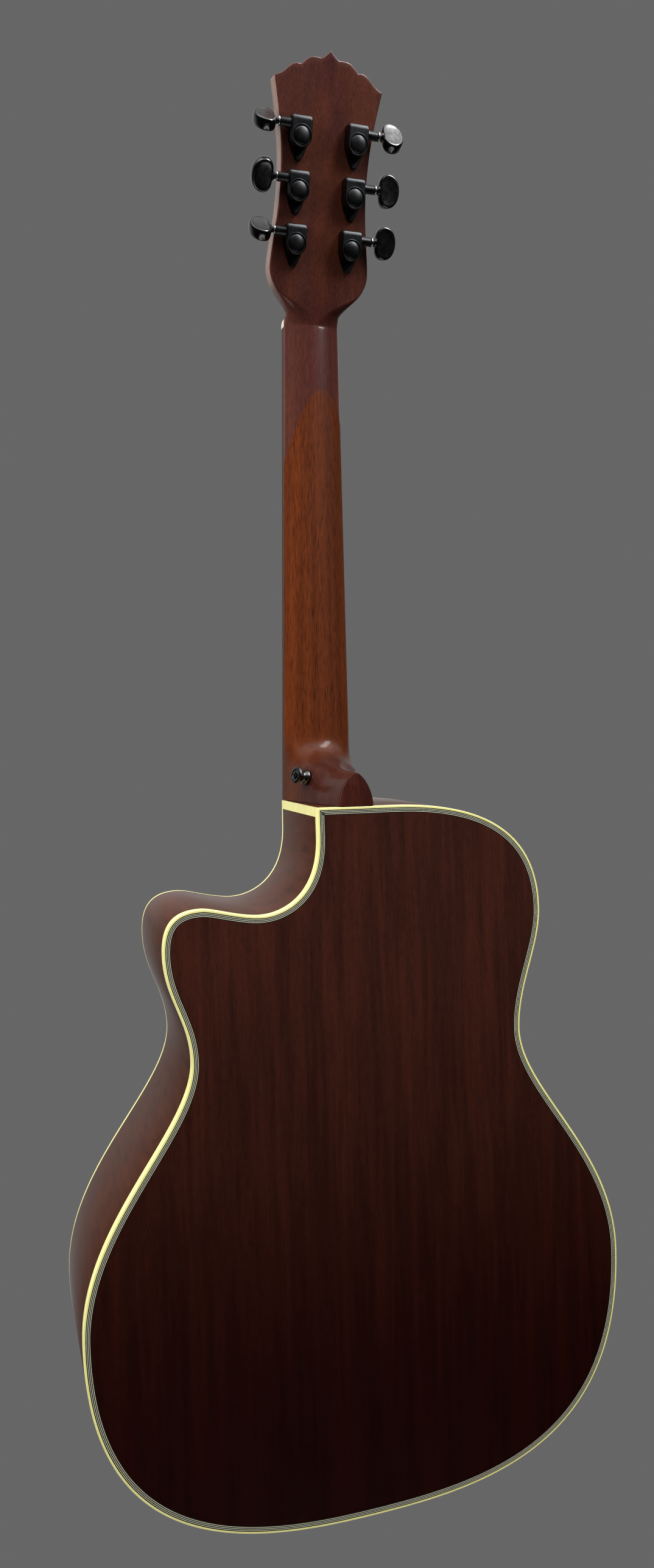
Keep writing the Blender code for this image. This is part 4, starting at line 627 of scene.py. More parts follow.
def spruce_top():
    """Close vertical grain lines under amber lacquer, with faint cross silk."""
    f = Finish("spruce_top", 0.4, coat=0.6, coat_roughness=0.08, specular=0.4)
    warp = f.noise(f.where(scale=(6.0, 1.0, 2.0)), 1.0, 2.0)
    x = f.axis(f.where(), "X")
    lines = f.math("SINE", f.math("ADD", f.math("MULTIPLY", x, 4600.0), f.math("MULTIPLY", warp, 34.0)))
    fine = f.noise(f.where(scale=(1500.0, 1.0, 18.0)), 1.0, 3.0)
    silk = f.noise(f.where(scale=(40.0, 1.0, 500.0)), 1.0, 2.0)
    spruce = colours().spruce
    tone = f.blend(f.remap(lines, -1.0, 1.0), tinted(spruce, 1.06), tinted(spruce, 0.80))
    tone = f.shade(tone, fine, [(0.35, (0.86, 0.84, 0.8)), (0.65, (1.08, 1.06, 1.02))], 0.5)
    tone = f.shade(tone, silk, [(0.4, 0.92), (0.6, 1.08)], 0.25)
    return f.done(tone, (fine, 0.36, 0.46), (lines, 0.03, 0.0001))


def rosewood(name="rosewood", gloss=0.0):
    """Dark open-grained wood with streaks and long pores."""
    f = Finish(name, 0.48, coat=gloss, coat_roughness=0.08, specular=0.45)
    tone, _, pores = wood(f, tuple(colours().rosewood), 0.42, 0.24, 0.5, widths=(160.0, 900.0, 1500.0))
    return f.done(tone, relief=(pores, 0.12, 0.0002))


def bare_wood(name="bare_inner_wood", factor=1.0):
    """Unfinished pale wood with its grain up the body."""
    f = Finish(name, 0.75, specular=0.2)
    tone, _, pores = wood(f, tinted(colours().bare_wood, factor), 0.10, 0.12, 0.15)
    return f.done(tone, relief=(pores, 0.2, 0.0002))


def heel_wood():
    """Dark red-brown mahogany of the heel's cap, lacquered."""
    f = Finish("heel_cap_mahogany", 0.42, coat=0.5, coat_roughness=0.12, specular=0.08)
    tone, _, pores = wood(f, (0.050, 0.0105, 0.0072), 0.20, 0.20, 0.35, widths=(220.0, 1150.0, 1500.0))
    return f.done(tone, relief=(pores, 0.05, 0.0001))


def cream_plastic():
    """Grained ivory-coloured binding: faint cloudy lines under a polish."""
    f = Finish("cream_binding", 0.24, coat=0.3, coat_roughness=0.08, specular=0.5)
    cloud = f.noise(f.where(scale=(60.0, 60.0, 60.0)), 1.0, 3.0)
    lines = f.noise(f.where(scale=(900.0, 200.0, 900.0)), 1.0, 2.0)
    cream = colours().cream
    tone = f.blend(f.remap(cloud, 0.35, 0.65), tinted(cream, 0.93), tuple(cream))
    f.set("Subsurface Weight", 0.15)
    f.set("Subsurface Radius", (0.002, 0.0015, 0.0008))
    return f.done(f.shade(tone, lines, [(0.4, (0.9, 0.9, 0.86)), (0.6, 1.0)], 0.3), (cloud, 0.2, 0.3))


def purfling_lines():
    """Seven thin lines side by side: black, white, black, white, black, white, black. The
    UV map's second value runs across them from the binding inwards."""
    dark, pale = (0.008, 0.009, 0.006), (0.66, 0.66, 0.50)
    f = Finish("purfling_lines", 0.3, coat=0.5, coat_roughness=0.1)
    across = f.axis(f.where("UV"), "Y")
    edges = (0.0, 0.18, 0.28, 0.46, 0.56, 0.74, 0.84)
    stops = [(edge, pale if k % 2 else dark) for k, edge in enumerate(edges)]
    fleck = f.noise(f.where("UV", (900.0, 3.0, 1.0)), 1.0, 2.0)
    tone = f.shade(f.ramp(across, stops, sharp=True), fleck, [(0.35, 0.75), (0.65, 1.15)], 0.35)
    return f.done(tone, (fleck, 0.26, 0.36))


def rosette_rings():
    """Rings round the soundhole, by the UV map's value across them: thin black and white
    lines on both sides of a broad herringbone of dark and light wood."""
    dark, pale = (0.012, 0.012, 0.011), (0.62, 0.55, 0.38)
    f = Finish("rosette_rings", 0.32, coat=0.6, coat_roughness=0.08)
    across = f.axis(f.where("UV"), "Y")
    round_it = f.axis(f.where("UV"), "X")
    lean = f.math("MULTIPLY", f.math("ABSOLUTE", f.math("SUBTRACT", across, 0.5)), 1.6)
    weave = f.math("FRACT", f.math("ADD", f.math("MULTIPLY", round_it, 150.0), lean))
    middle = f.ramp(weave, [(0.0, (0.10, 0.035, 0.02)), (0.5, (0.45, 0.27, 0.12))], sharp=True)
    lines = f.ramp(across, [
        (0.0, dark), (0.06, pale), (0.10, dark), (0.16, pale), (0.20, dark), (0.25, dark),
        (0.75, dark), (0.80, pale), (0.84, dark), (0.90, pale), (0.94, dark)], sharp=True)
    inside = f.ramp(across, [(0.0, 0.0), (0.26, 1.0), (0.74, 0.0)], sharp=True)
    return f.done(f.blend(inside, lines, middle))


def black_casting():
    """Satin black plating on a casting: a fine orange peel and faint rub marks."""
    f = Finish("black_casting", 0.40, metallic=1.0)
    peel = f.noise(f.where(), 2600.0, 2.0)
    cloud = f.noise(f.where(), 110.0, 3.0)
    base = f.ramp(cloud, [(0.35, (0.046, 0.047, 0.050)), (0.65, (0.068, 0.070, 0.073))])
    return f.done(base, (cloud, 0.32, 0.42), (peel, 0.08, 0.0001))


def black_gloss():
    """Polished black plating with faint swirls."""
    f = Finish("black_gloss_button", 0.18, metallic=1.0)
    swirl = f.noise(f.where(), 160.0, 3.0, 0.6, 1.2)
    base = f.ramp(swirl, [(0.3, (0.135, 0.135, 0.138)), (0.7, (0.168, 0.168, 0.171))])
    return f.done(base, (swirl, 0.14, 0.26))


def moulded_black(name="moulded_black", roughness=0.42):
    """Black moulding with a fine grit."""
    f = Finish(name, roughness, specular=0.45)
    grit = f.noise(f.where(), 3200.0, 2.0)
    cloud = f.noise(f.where(), 60.0, 3.0)
    base = f.ramp(cloud, [(0.35, (0.010, 0.010, 0.011)), (0.65, (0.019, 0.019, 0.020))])
    return f.done(base, (cloud, roughness - 0.06, roughness + 0.06), (grit, 0.14, 0.0001))


def bright_steel(name="bright_steel", roughness=0.24, tone=(0.58, 0.58, 0.58)):
    """Plated or ground steel with fine scratches."""
    f = Finish(name, roughness, metallic=1.0)
    scratches = f.noise(f.where(scale=(900.0, 900.0, 90.0)), 1.0, 3.0)
    base = f.ramp(scratches, [(0.3, tinted(tone, 0.8)), (0.7, tinted(tone, 1.15))])
    return f.done(base, (scratches, roughness - 0.06, roughness + 0.1), (scratches, 0.05, 0.00005))


def wound_bronze():
    """Bronze winding: a close groove for each length counted by the UV map, each groove darkened by painted
    shade.
    """
    f = Finish("wound_bronze", 0.3, metallic=1.0)
    along = f.axis(f.where("UV"), "X")
    groove = f.math("SINE", f.math("MULTIPLY", along, 2 * math.pi))
    # Painted shade: the colour turns dark brown in each groove between the turns
    base = f.blend(f.remap(groove, -1.0, 0.2), (0.16, 0.08, 0.025), (0.62, 0.38, 0.15))
    return f.done(base, relief=(groove, 0.5, 0.0001))


def polished_bone(name="polished_bone", tone=(0.82, 0.76, 0.62)):
    """Bone or hard white plastic with a soft cloud."""
    f = Finish(name, 0.3, coat=0.2, coat_roughness=0.1)
    cloud = f.noise(f.where(), 180.0, 4.0)
    f.set("Subsurface Weight", 0.2)
    f.set("Subsurface Radius", (0.002, 0.0015, 0.001))
    return f.done(f.ramp(cloud, [(0.35, tinted(tone, 0.88)), (0.65, tone)]))


def pearl():
    """Pearl dot: soft patches that shift between silver, green and rose."""
    f = Finish("pearl_dot", 0.2, coat=0.8, coat_roughness=0.04)
    cells = f.noise(f.where(), 420.0, 3.0, 0.5, 2.0)
    return f.done(f.ramp(cells, [
        (0.3, (0.55, 0.62, 0.6)), (0.5, (0.78, 0.78, 0.74)), (0.7, (0.72, 0.62, 0.6))]))


def battery_wrap():
    """Plain dark wrap with a copper-coloured top band."""
    f = Finish("battery_wrap", 0.35, metallic=0.3)
    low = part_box("battery")[0]
    band = f.remap(f.axis(f.where(), "X"), low.x + 0.004, low.x + 0.0045)
    scuff = f.noise(f.where(), 300.0, 3.0)
    wrap = f.ramp(scuff, [(0.3, (0.03, 0.03, 0.035)), (0.7, (0.06, 0.06, 0.065))])
    return f.done(f.blend(band, (0.35, 0.16, 0.06), wrap))


FINISHES = {}


def finish(maker, *settings):
    """The finish that a maker gives for those settings, made once."""
    key = (maker, *settings)
    if key not in FINISHES:
        FINISHES[key] = maker(*settings)
    return FINISHES[key]


# Body

def body_outline(size):
    """Closed clockwise outline (x, v) from the treble shoulder, and where the tail's
    middle is in it: straight shoulder, hollow and rise of the cutaway, horn, flank,
    lower bout, then the bass side back up to the neck."""
    corner = size.shoulder
    start = (corner, -CUTAWAY_START)
    waist = np.array([size.waist, -size.waist_down])
    bout = (-size.upper_bout, -size.upper_bout_down)
    wide = (size.lower_bout, -size.lower_bout_down)
    tail = (0.0, -size.body_length)
    shoulder = np.stack([np.full(8, corner), np.linspace(0, start[1], 8, endpoint=False)], 1)
    hollow = curve(start, (0, -HOLLOW_DOWN), (-CUTAWAY_PULL, 0), CUTAWAY_LOW, 60)
    rise = curve(CUTAWAY_LOW, (CUTAWAY_PULL, 0), (-HORN_TOP_PULLS[0], 0), HORN_TOP, 26)
    horn = curve(HORN_TOP, (HORN_TOP_PULLS[1], 0), (0, HORN_SIDE_PULLS[0]), HORN_SIDE, 36)
    flank = curve(HORN_SIDE, (0, -HORN_SIDE_PULLS[1]), (0, WAIST_PULLS[0]), waist, 34)
    down = LOWER_BOUT_PULLS[1] * (tail[1] - wide[1])
    lower = np.vstack([curve(waist, (0, -WAIST_PULLS[2]), (0, LOWER_BOUT_PULLS[0]), wide, 76),
                       curve(wide, (0, down), (TAIL_ACROSS * wide[0], 0), tail, 84)])
    upper = curve(waist * [-1, 1], (0, WAIST_PULLS[1]), (0, -BOUT_PULLS[0]), bout, 40)
    bass = curve(bout, (0, BOUT_PULLS[1]), (-SHOULDER_PULL, 0), (-corner, 0.0), 66)
    top_edge = np.stack([np.linspace(-corner, corner, 16, endpoint=False), np.zeros(16)], 1)
    treble = np.vstack([shoulder, hollow, rise, horn, flank, lower])
    loop = np.vstack([treble, [tail], (lower * [-1, 1])[::-1][:-1], upper, bass, top_edge])
    return loop, len(treble)


def carried(path, section, closed=True, across=None):
    """A section carried along the outline. Each section point is (inset, plane, depth):
    the inset goes in along the mitred normal, and the depth is measured in from the
    front plane (plane 0) or from the back plane (plane 1)."""
    section = np.asarray(section, float)
    inset, plane, depth = section.T
    normals = outward(path, closed)
    x = path[:, :1] - normals[:, :1] * inset
    v = path[:, 1:] - normals[:, 1:] * inset
    y = np.where(plane > 0.5, back_y(v) - depth, depth + 0 * v)
    run = run_along(np.vstack([path, path[:1]])) * MM
    if across is None:
        across = run_along(section[:, [0, 2]]) * MM
        across = np.append(across, across[-1] + MM)
    return surface(body_place(x, v, y), wrap_rows=closed, wrap_cols=True, cap_rows=not closed,
                   lay=(run if closed else run[:-1], across))


def edge_section(tall, plane):
    """Binding: a bar whose outer edge is a quarter round."""
    turn = np.linspace(0, math.pi / 2, 5)
    bend = [(EDGE_ROUND * (1 - math.sin(t)), plane, EDGE_ROUND * (1 - math.cos(t))) for t in turn]
    return [(BINDING, plane, 0.0)] + bend + [(0.0, plane, tall), (BINDING, plane, tall)]


class GUITAR_OT_back_and_sides(bpy.types.Operator):
    """Back panel with its lines, two bent sides and all bindings"""
    bl_idname = "guitar.back_and_sides"
    bl_label = "Back and Sides"

    def execute(self, context):
        size = sizes()
        loop, tail = body_outline(size)
        self.panel(size, loop)
        inner = BINDING + PURFLING
        ring = [(BINDING, 1, 0.0), (inner, 1, 0.0), (inner, 1, 1.6), (BINDING, 1, 1.6)]
        piece("back_lines", [carried(loop, ring, across=LINE_ACROSS)], finish(purfling_lines),
              stands_for=["back_purfling"])
        cream = finish(cream_plastic)
        for name, tall, plane, node in (("back_edge", BACK_BINDING_TALL, 1, "back_binding"),
                                        ("front_edge", FRONT_BINDING_TALL, 0, "top_binding")):
            piece(name, [carried(loop, edge_section(tall, plane))], cream, stands_for=[node])
        self.sides(size, loop, tail)
        dress(cream, "corner_binding")
        return {"FINISHED"}

    def panel(self, size, loop):
        """Back panel: rings from the centre to the inset outline, then back under. The arch
        is one minus the squared distance over a smoothed edge distance, which keeps the first
        harmonics of the outline's distance alone, and it fades out along the very edge."""
        edge = loop - outward(loop) * (BINDING + PURFLING)
        centre = np.array([0.0, -250.0])
        share = np.concatenate([np.linspace(0, 1, 22) ** 0.8, np.linspace(1, 0, 8)])
        under = np.concatenate([np.zeros(22), np.ones(8)])
        flat = centre + (edge[:, None] - centre) * share[None, :, None]
        spoke = edge - centre
        turn, reach = np.arctan2(spoke[:, 1], spoke[:, 0]), np.linalg.norm(spoke, axis=1)
        order = np.argsort(turn)
        even_turn = np.linspace(-math.pi, math.pi, 512, endpoint=False)
        wave = np.fft.rfft(np.interp(even_turn, turn[order], reach[order], period=2 * math.pi))
        wave[7:] = 0
        soft = np.interp(turn, even_turn, np.fft.irfft(wave, 512), period=2 * math.pi)
        fade = 1 - share ** 14
        rise = size.back_arch * fade * (1 - (share[None] * reach[:, None] / soft[:, None]) ** 2)
        y = back_y(flat[..., 1]) + rise - BACK_THICK * under
        grid = body_place(flat[..., 0], flat[..., 1], y)
        piece("back_panel", [surface(grid, wrap_rows=True)], finish(mahogany_back),
              stands_for=["back_plate"], sharp=50)

    def sides(self, size, loop, tail):
        """Both sides: a thin wall from the front binding to the back binding."""
        section = [(0.0, 0, FRONT_BINDING_TALL), (0.0, 1, BACK_BINDING_TALL), (SIDE_THICK, 1, 2.8),
                   (SIDE_THICK, 0, 3.0)]
        strip = int(np.argmax(loop[:, 1] < -CORNER_STRIP))
        treble = np.vstack([[(size.shoulder, -CORNER_STRIP)], loop[strip:tail + 1]])
        bass = np.vstack([loop[tail:], [(size.shoulder - BINDING, 0.0)]])
        for name, path, node in (("treble_side", treble, "side_treble"), ("bass_side", bass, "side_bass")):
            piece(name, [carried(path, section, closed=False)], finish(mahogany_side), stands_for=[node])


class GUITAR_OT_soundboard(bpy.types.Operator):
    """Soundboard with its lines and rosette, and the wood glued inside the body"""
    bl_idname = "guitar.soundboard"
    bl_label = "Soundboard"

    def execute(self, context):
        loop, _ = body_outline(sizes())
        inner = BINDING + FRONT_LINES
        edge = loop - outward(loop) * inner
        hole = np.array([0.0, SOUNDHOLE_V])
        ray = edge - hole
        ray /= np.linalg.norm(ray, axis=1)[:, None]
        rim = hole + SOUNDHOLE_RADIUS * ray
        share = np.linspace(0, 1, 14)
        x, v = np.moveaxis(rim[:, None] + (edge - rim)[:, None] * share[None, :, None], 2, 0)
        lip_x, lip_v = (rim - 0.25 * ray).T[..., None]
        grid = np.concatenate([body_place(x, v, np.where(share < 0.001, 0.25, 0.0)),
                               body_place(x, v, TOP_THICK)[:, ::-1],
                               body_place(lip_x, lip_v, np.array([2.8, 1.5, 0.6]))], axis=1)
        piece("spruce_panel", [surface(grid, wrap_rows=True, wrap_cols=True)], finish(spruce_top),
              stands_for=["soundboard"], sharp=50)
        ring = [(BINDING, 0, 0.0), (inner, 0, 0.0), (inner, 0, 1.2), (BINDING, 0, 1.2)]
        piece("front_lines", [carried(loop, ring, across=LINE_ACROSS)], finish(purfling_lines))
        self.rosette(hole)
        self.inside()
        return {"FINISHED"}

    def rosette(self, hole):
        """Flat ring round the soundhole: radius by round, 0.05 mm proud of the wood."""
        radius = np.array([52.0, 52.0, 61.0, 61.0])
        depth = np.array([0.4, -0.05, -0.05, 0.4])
        turn = np.linspace(0, 2 * math.pi, 180, endpoint=False)[:, None]
        grid = body_place(hole[0] + radius * np.cos(turn), hole[1] + radius * np.sin(turn), depth)
        ring = surface(grid, wrap_rows=True, wrap_cols=True, lay=(np.linspace(0, 1, 181), (0, 0, 1, 1, 1)))
        piece("rosette", [ring], finish(rosette_rings))

    def inside(self):
        linings = [plate + "_lining_" + side for plate in ("top", "back") for side in ("bass", "treble")]
        dress(finish(bare_wood), "neck_block", "tail_block", "bridge_plate", *linings)
        dress(finish(bare_wood, "brace_wood", 1.15), "top_bracing", "back_bracing")


# Neck

def neck_width(size, v):
    return size.neck_at_body + (size.neck_at_nut - size.neck_at_body) * v / NUT_UP


def ridge_depth(v):
    """Depth of the ridge: a thin shaft, then a quarter of a superellipse round the throat
    and out to the heel's tip. Below the tip a power curve runs on behind the back's plane,
    and sets how full the heel's sides are."""
    shaft = SHAFT_DEPTH - (SHAFT_DEPTH - NUT_DEPTH) * np.maximum(v, 0) / NUT_UP
    tip = back_y(HEEL_TIP)
    t = np.clip((HEEL_RISE - v) / (HEEL_RISE - HEEL_TIP), 0, 1)
    throat = (tip - shaft) * (1 - (1 - t ** HEEL_BEND) ** (1 / HEEL_BEND))
    return shaft + throat + (HEEL_REACH - tip) * np.clip(1 - v / HEEL_TIP, 0, 1) ** HEEL_REACH_BEND


def heel_share(v, y, sunk):
    """Share of the width at a height and a depth; sunk is the depth's share of the ridge's.
    The shaft and the throat close on their ridge, by the root of one minus a power of
    sunk. Deeper down the heel is an arch below the ridge: one minus a power of the
    height's share of the ridge's, square beside the strap button and keen at the cap."""
    power = 2.1 + 0.9 * np.clip((HEEL_RISE - v) / HEEL_RISE, 0, 1)
    across = np.sqrt(np.maximum(0, 1 - np.clip(sunk, 0, 1) ** power))
    left = 1 - np.clip((y - SHAFT_DEPTH) / (back_y(HEEL_TIP) - SHAFT_DEPTH), 0, 1)
    crest = HEEL_RISE - (HEEL_RISE - HEEL_TIP) * (1 - left ** HEEL_BEND) ** (1 / HEEL_BEND)
    square = smoothstep((HEEL_KEEN_FROM - y) / HEEL_BLEND)
    arch = np.maximum(0, 1 - (v / crest) ** (1.8 + 2.4 * square)) ** (0.65 - 0.37 * square)
    deep = smoothstep((y - HEEL_ARCH_FROM) / HEEL_BLEND)
    return across ** (1 - deep) * arch ** deep


def heel_half(size, v, y):
    """Half width of the heel where it is y deep."""
    taper = np.clip(y / DEPTH_NECK, 0, 1)
    full = neck_width(size, v) / 2 * (1 - taper) + HEEL_END_HALF * taper
    return full * heel_share(v, y, y / ridge_depth(v))


def head_edge(size):
    """Side of the headstock from its root up to the crown's corner, as (s, half width)."""
    corner_x, corner_s = HEAD_CORNER
    root = (size.neck_at_nut / 2 - 0.6, 9.0)
    upper = bezier([(corner_x, corner_s), (corner_x - 4.5, corner_s - 22), (32.6, 120), (32.6, 98)], 30)
    lower = bezier([(32.6, 98), (32.6, 72), (36.9, 56), (37.9, 40)], 30)
    ear = bezier([(37.9, 40), (38.8, 26), (size.neck_at_nut / 2 + 3.5, 17), root], 30)
    side = np.vstack([upper, lower, ear, [root]])[::-1]
    return side[:, 1], side[:, 0]


def crown_top(x):
    return HEAD_PEAK - np.interp(np.abs(x), CROWN_X, CROWN_DOWN)


def head_outline(size, start):
    """Closed outline of the headstock above s = start, clockwise as seen from behind."""
    s, half = head_edge(size)
    keep = s > start
    s = np.concatenate([[start], s[keep]])
    half = np.concatenate([[np.interp(start, *head_edge(size))], half[keep]])
    x = np.linspace(HEAD_CORNER[0], -HEAD_CORNER[0], 121)[1:-1]
    crown = np.stack([x, crown_top(x)], 1)
    right = np.stack([half, s], 1)
    left = np.stack([-half, s], 1)[::-1]
    return np.vstack([right, crown, left])[::-1]


def neck_grid(size):
    """Rows of rings along the neck. A ring runs from one front edge over the back to the
    other. It is a wall, a quarter round with radii rx and ry, and a flat. On the shaft
    the quarter round is the whole half ring, and on the headstock it shrinks to a soft
    edge. The ring's plane turns by the headstock's tilt near the nut."""
    around = np.sin(np.linspace(math.pi / 2, 0, 46)) ** (2 / HEEL_BEND)
    foot = HEEL_TIP - (HEEL_TIP - 0.3) * np.linspace(1, 0.03, 36) ** 1.8
    q = np.concatenate([foot, HEEL_RISE - (HEEL_RISE - HEEL_TIP) * around,
                        np.linspace(55, 345, 44), np.arange(-9.5, 30, 1.1) + NUT_UP,
                        np.linspace(31, 118, 32) + NUT_UP])
    crown = np.linspace(0, 1, 18)
    s = np.concatenate([q - NUT_UP, CROWN_ROWS_FROM + (HEAD_CORNER[1] - CROWN_ROWS_FROM) * crown])[:, None]
    crown = np.concatenate([np.zeros(len(q)), crown])[:, None]
    v = s + NUT_UP
    head = smoothstep((s - 1.0) / 25.0)
    tilt = HEAD_TILT * smoothstep((s + 7.0) / 14.0)
    front = CORE_FRONT * smoothstep((s - 5.5) / 1.5)
    edge_s, edge_half = head_edge(size)
    nut_half = size.neck_at_nut / 2
    root = nut_half + (edge_half[0] - nut_half) * s / edge_s[0]
    width = np.where(s < edge_s[0], root, np.interp(s, edge_s, edge_half))
    width = np.where(s <= 0, neck_width(size, v) / 2, width)
    ridge = np.where(s < 0, ridge_depth(np.minimum(v, NUT_UP)),
                     NUT_DEPTH + (HEAD_THICK - NUT_DEPTH) * smoothstep(s / 20))
    cut = np.minimum(ridge, back_y(v) - 2.3)
    rx = width * (1 - head) + HEAD_EDGE_ROUND * head
    ry = ridge * (1 - head) + HEAD_EDGE_ROUND * head
    wall = np.linspace(0, 1, 5, endpoint=False)
    arc = np.linspace(0, math.pi / 2, 26)
    flat = np.linspace(0, 1, 50)[1:]
    reach = ridge - ry
    n_arc = np.maximum(reach + (ry - (ridge - cut)) * np.sin(arc), front)
    taper = np.clip(n_arc / DEPTH_NECK, 0, 1) * (1 - head)
    narrow = 1 - (1 - HEEL_END_HALF / np.maximum(width, 1)) * taper
    share = np.clip((n_arc - reach) / ry, 0, 1)
    x_arc = ((width - rx) + rx * heel_share(v, n_arc, share)) * narrow
    x = np.concatenate([width + 0 * wall, x_arc, x_arc[:, -1:] * (1 - flat)], 1)
    n = np.concatenate([front + np.maximum(reach - front, 0) * wall, n_arc, cut + 0 * flat], 1)
    x = np.concatenate([x, -x[:, -2::-1]], 1)
    n = np.concatenate([n, n[:, -2::-1]], 1)
    top = crown_top(x * HEAD_CORNER[0] / width) - 1.0
    along = np.where(crown > 0, CROWN_ROWS_FROM + (top - CROWN_ROWS_FROM) * crown, s)
    rows = [ring_place(x, along, n, tilt)]
    edge = [(math.sin(t), HEAD_THICK - 1.0 + math.cos(t)) for t in np.radians([30, 60, 90])]
    for more, limit in edge + [(1.0, CORE_FRONT)]:
        rows.append(ring_place(x[-1:], along[-1:] + more, np.minimum(n[-1:], limit), tilt[-1:]))
    return np.concatenate(rows)


def ring_place(x, s, n, tilt):
    """Points of rings: up the shaft below the nut, up the tilted headstock above it."""
    up = np.maximum(s, 0)
    base_v = NUT_UP + np.minimum(s, 0) + up * math.cos(HEAD_TILT)
    base_y = up * math.sin(HEAD_TILT)
    return body_place(x, base_v - n * np.sin(tilt), base_y + n * np.cos(tilt))


class GUITAR_OT_neck(bpy.types.Operator):
    """Carved neck with heel and headstock, heel cap, headstock face and nut"""
    bl_idname = "guitar.neck"
    bl_label = "Neck and Headstock"

    def execute(self, context):
        size = sizes()
        carved = surface(neck_grid(size), wrap_cols=True, cap_rows=True)
        piece("carved_neck", [carved], finish(mahogany_neck), stands_for=["neck"],
              sharp=48)
        self.heel_plate(size)
        levels = [(0.35, 0.0), (0.08, 0.1), (0.0, 0.4), (0.0, 1.78)]
        face = stack(head_outline(size, 6.0), levels, head_place)
        piece("headstock_face", [face], finish(rosewood, "gloss_rosewood", 0.7),
              stands_for=["headplate"], sharp=30)
        self.nut(size)
        self.rod_cover()
        dress(finish(bright_steel), "truss_rod")
        return {"FINISHED"}

    def heel_plate(self, size):
        """Cap over the heel: its outline is the heel's half width in the back's plane."""
        down = HEEL_TIP - (HEEL_TIP - 0.3) * np.linspace(0, 1, 60) ** 1.8
        half = heel_half(size, down, back_y(down))
        half[0] = 0.0
        right = np.stack([half, down], 1)
        left = np.stack([-half, down], 1)[1:][::-1]
        outline = np.vstack([right, left])

        def place(x, w, height):
            return body_place(x, w, back_y(w) + height)

        levels = [(0.0, -2.25), (0.0, -0.45), (0.05, -0.2), (0.18, -0.03), (0.4, 0.02)]
        piece("heel_plate", [stack(outline, levels, place)], finish(heel_wood), stands_for=["heel_cap"],
              sharp=40)

    def nut(self, size):
        """Nut blank: a bar whose top is rounded toward the headstock."""
        half = size.neck_at_nut / 2
        x = np.linspace(-half, half, 24)[:, None]
        drop = np.maximum(0, np.abs(x) - half + 1.2) ** 2 * 0.5
        up = np.array([0.0, 0.0, 0.8, 2.4, 4.0, 5.2, 5.2])
        y = np.array([-0.3, -7.6, -7.8, -7.6, -6.6, -4.4, -0.3])
        blank = surface(body_place(x, NUT_UP + up, y + np.where(y < -4, drop, 0)), wrap_cols=True,
                        cap_rows=True)
        piece("nut_blank", [blank], finish(polished_bone), stands_for=["nut"], bevel=0.2)

    def rod_cover(self):
        """Bell-shaped cover over the truss rod's end, with two screws."""
        side = bezier([(12.0, 11.5), (11.0, 24.0), (6.5, 34.0), (5.0, 40.0)], 24)
        tip = bezier([(5.0, 40.0), (4.0, 44.0), (2.5, 46.0), (0.0, 46.0)], 12)
        outline = mirrored(np.vstack([side, tip, [(0.0, 46.0)]]))[::-1]
        plate = stack(outline, [(0.0, -0.1), (0.0, -1.4), (0.15, -1.75), (0.5, -1.9)], head_place)
        piece("rod_cover", [plate], finish(moulded_black, "cover_black", 0.2),
              stands_for=["truss_rod_cover"], sharp=30)
        screws = []
        for s in (15.5, 41.0):
            def place(a, b, c, s=s):
                return head_place(a, s + b, -1.85 - c)

            screws.append(screw_top(place, 1.5, 0.7, 0.22, 0.9, 0.5))
        piece("rod_cover_screws", screws, finish(bright_steel))


class GUITAR_OT_fretboard(bpy.types.Operator):
    """Cambered fretboard with fret wires and position dots"""
    bl_idname = "guitar.fretboard"
    bl_label = "Fretboard"

    def execute(self, context):
        size = sizes()
        v = np.linspace(BOARD_END, NUT_UP - 0.2, 60)[:, None]
        across = np.linspace(1, -1, 19)
        half = neck_width(size, v) / 2
        x = half * across
        y = BOARD_FACE + x * x / CAMBER + np.where(np.abs(across) > 0.999, 0.25, 0.0)
        low = np.full_like(half, -0.15)
        grid = body_place(np.concatenate([half, x, -half], 1), v, np.concatenate([low, y, low], 1))
        piece("fingerboard", [surface(grid, wrap_cols=True, cap_rows=True)], finish(rosewood),
              stands_for=["fretboard"], sharp=30, bevel=0.15)
        places = NUT_UP - SCALE_LENGTH * (1 - 2 ** (-np.arange(1, FRET_COUNT + 1) / 12))
        wires = [self.wire(size, place) for place in places]
        piece("fret_wires", wires, finish(bright_steel, "fret_wire", 0.2))
        self.dots(size, np.concatenate([[NUT_UP], places]))
        return {"FINISHED"}

    def wire(self, size, v):
        """Fret: a half-round bead over the camber, bevelled down at both ends."""
        half = neck_width(size, v) / 2 - 0.3
        x = np.linspace(-half, half, 15)[:, None]
        fade = np.clip((half - np.abs(x)) / 0.8, 0.15, 1.0)
        turn = np.linspace(0, math.pi, 9)
        y = BOARD_FACE + 0.05 + x * x / CAMBER - 0.95 * np.sin(turn) * fade
        return surface(body_place(x, v + 1.1 * np.cos(turn), y), wrap_cols=True, cap_rows=True)

    def dots(self, size, places):
        """Pearl dots between frets, two at the octave, and small ones on the bass edge."""
        spots = []
        for fret in (3, 5, 7, 9, 15, 17, 19, 12):
            middle = (places[fret - 1] + places[fret]) / 2
            lanes = (-13.0, 13.0) if fret == 12 else (0.0,)
            spots += [(lane, middle) for lane in lanes]
        faces = []
        for x, v in spots:
            face = BOARD_FACE + x * x / CAMBER

            def place(a, b, c, x=x, v=v, face=face):
                return body_place(x + a, v + b, face + c)

            faces.append(turned([(0.5, 0), (0.5, 3.0), (-0.03, 3.0), (-0.04, 2.0), (-0.05, 0)], place, 32))
        for fret in (3, 5, 7, 9, 12, 15):
            middle = (places[fret - 1] + places[fret]) / 2
            edge = neck_width(size, middle) / 2

            def side_place(a, b, c, middle=middle, edge=edge):
                return body_place(-edge - c, middle + b, -3.4 + a)

            faces.append(turned([(-0.4, 0), (-0.4, 1.0), (0.03, 1.0), (0.04, 0)], side_place, 20))
        piece("position_dots", faces, finish(pearl))


# Tuners

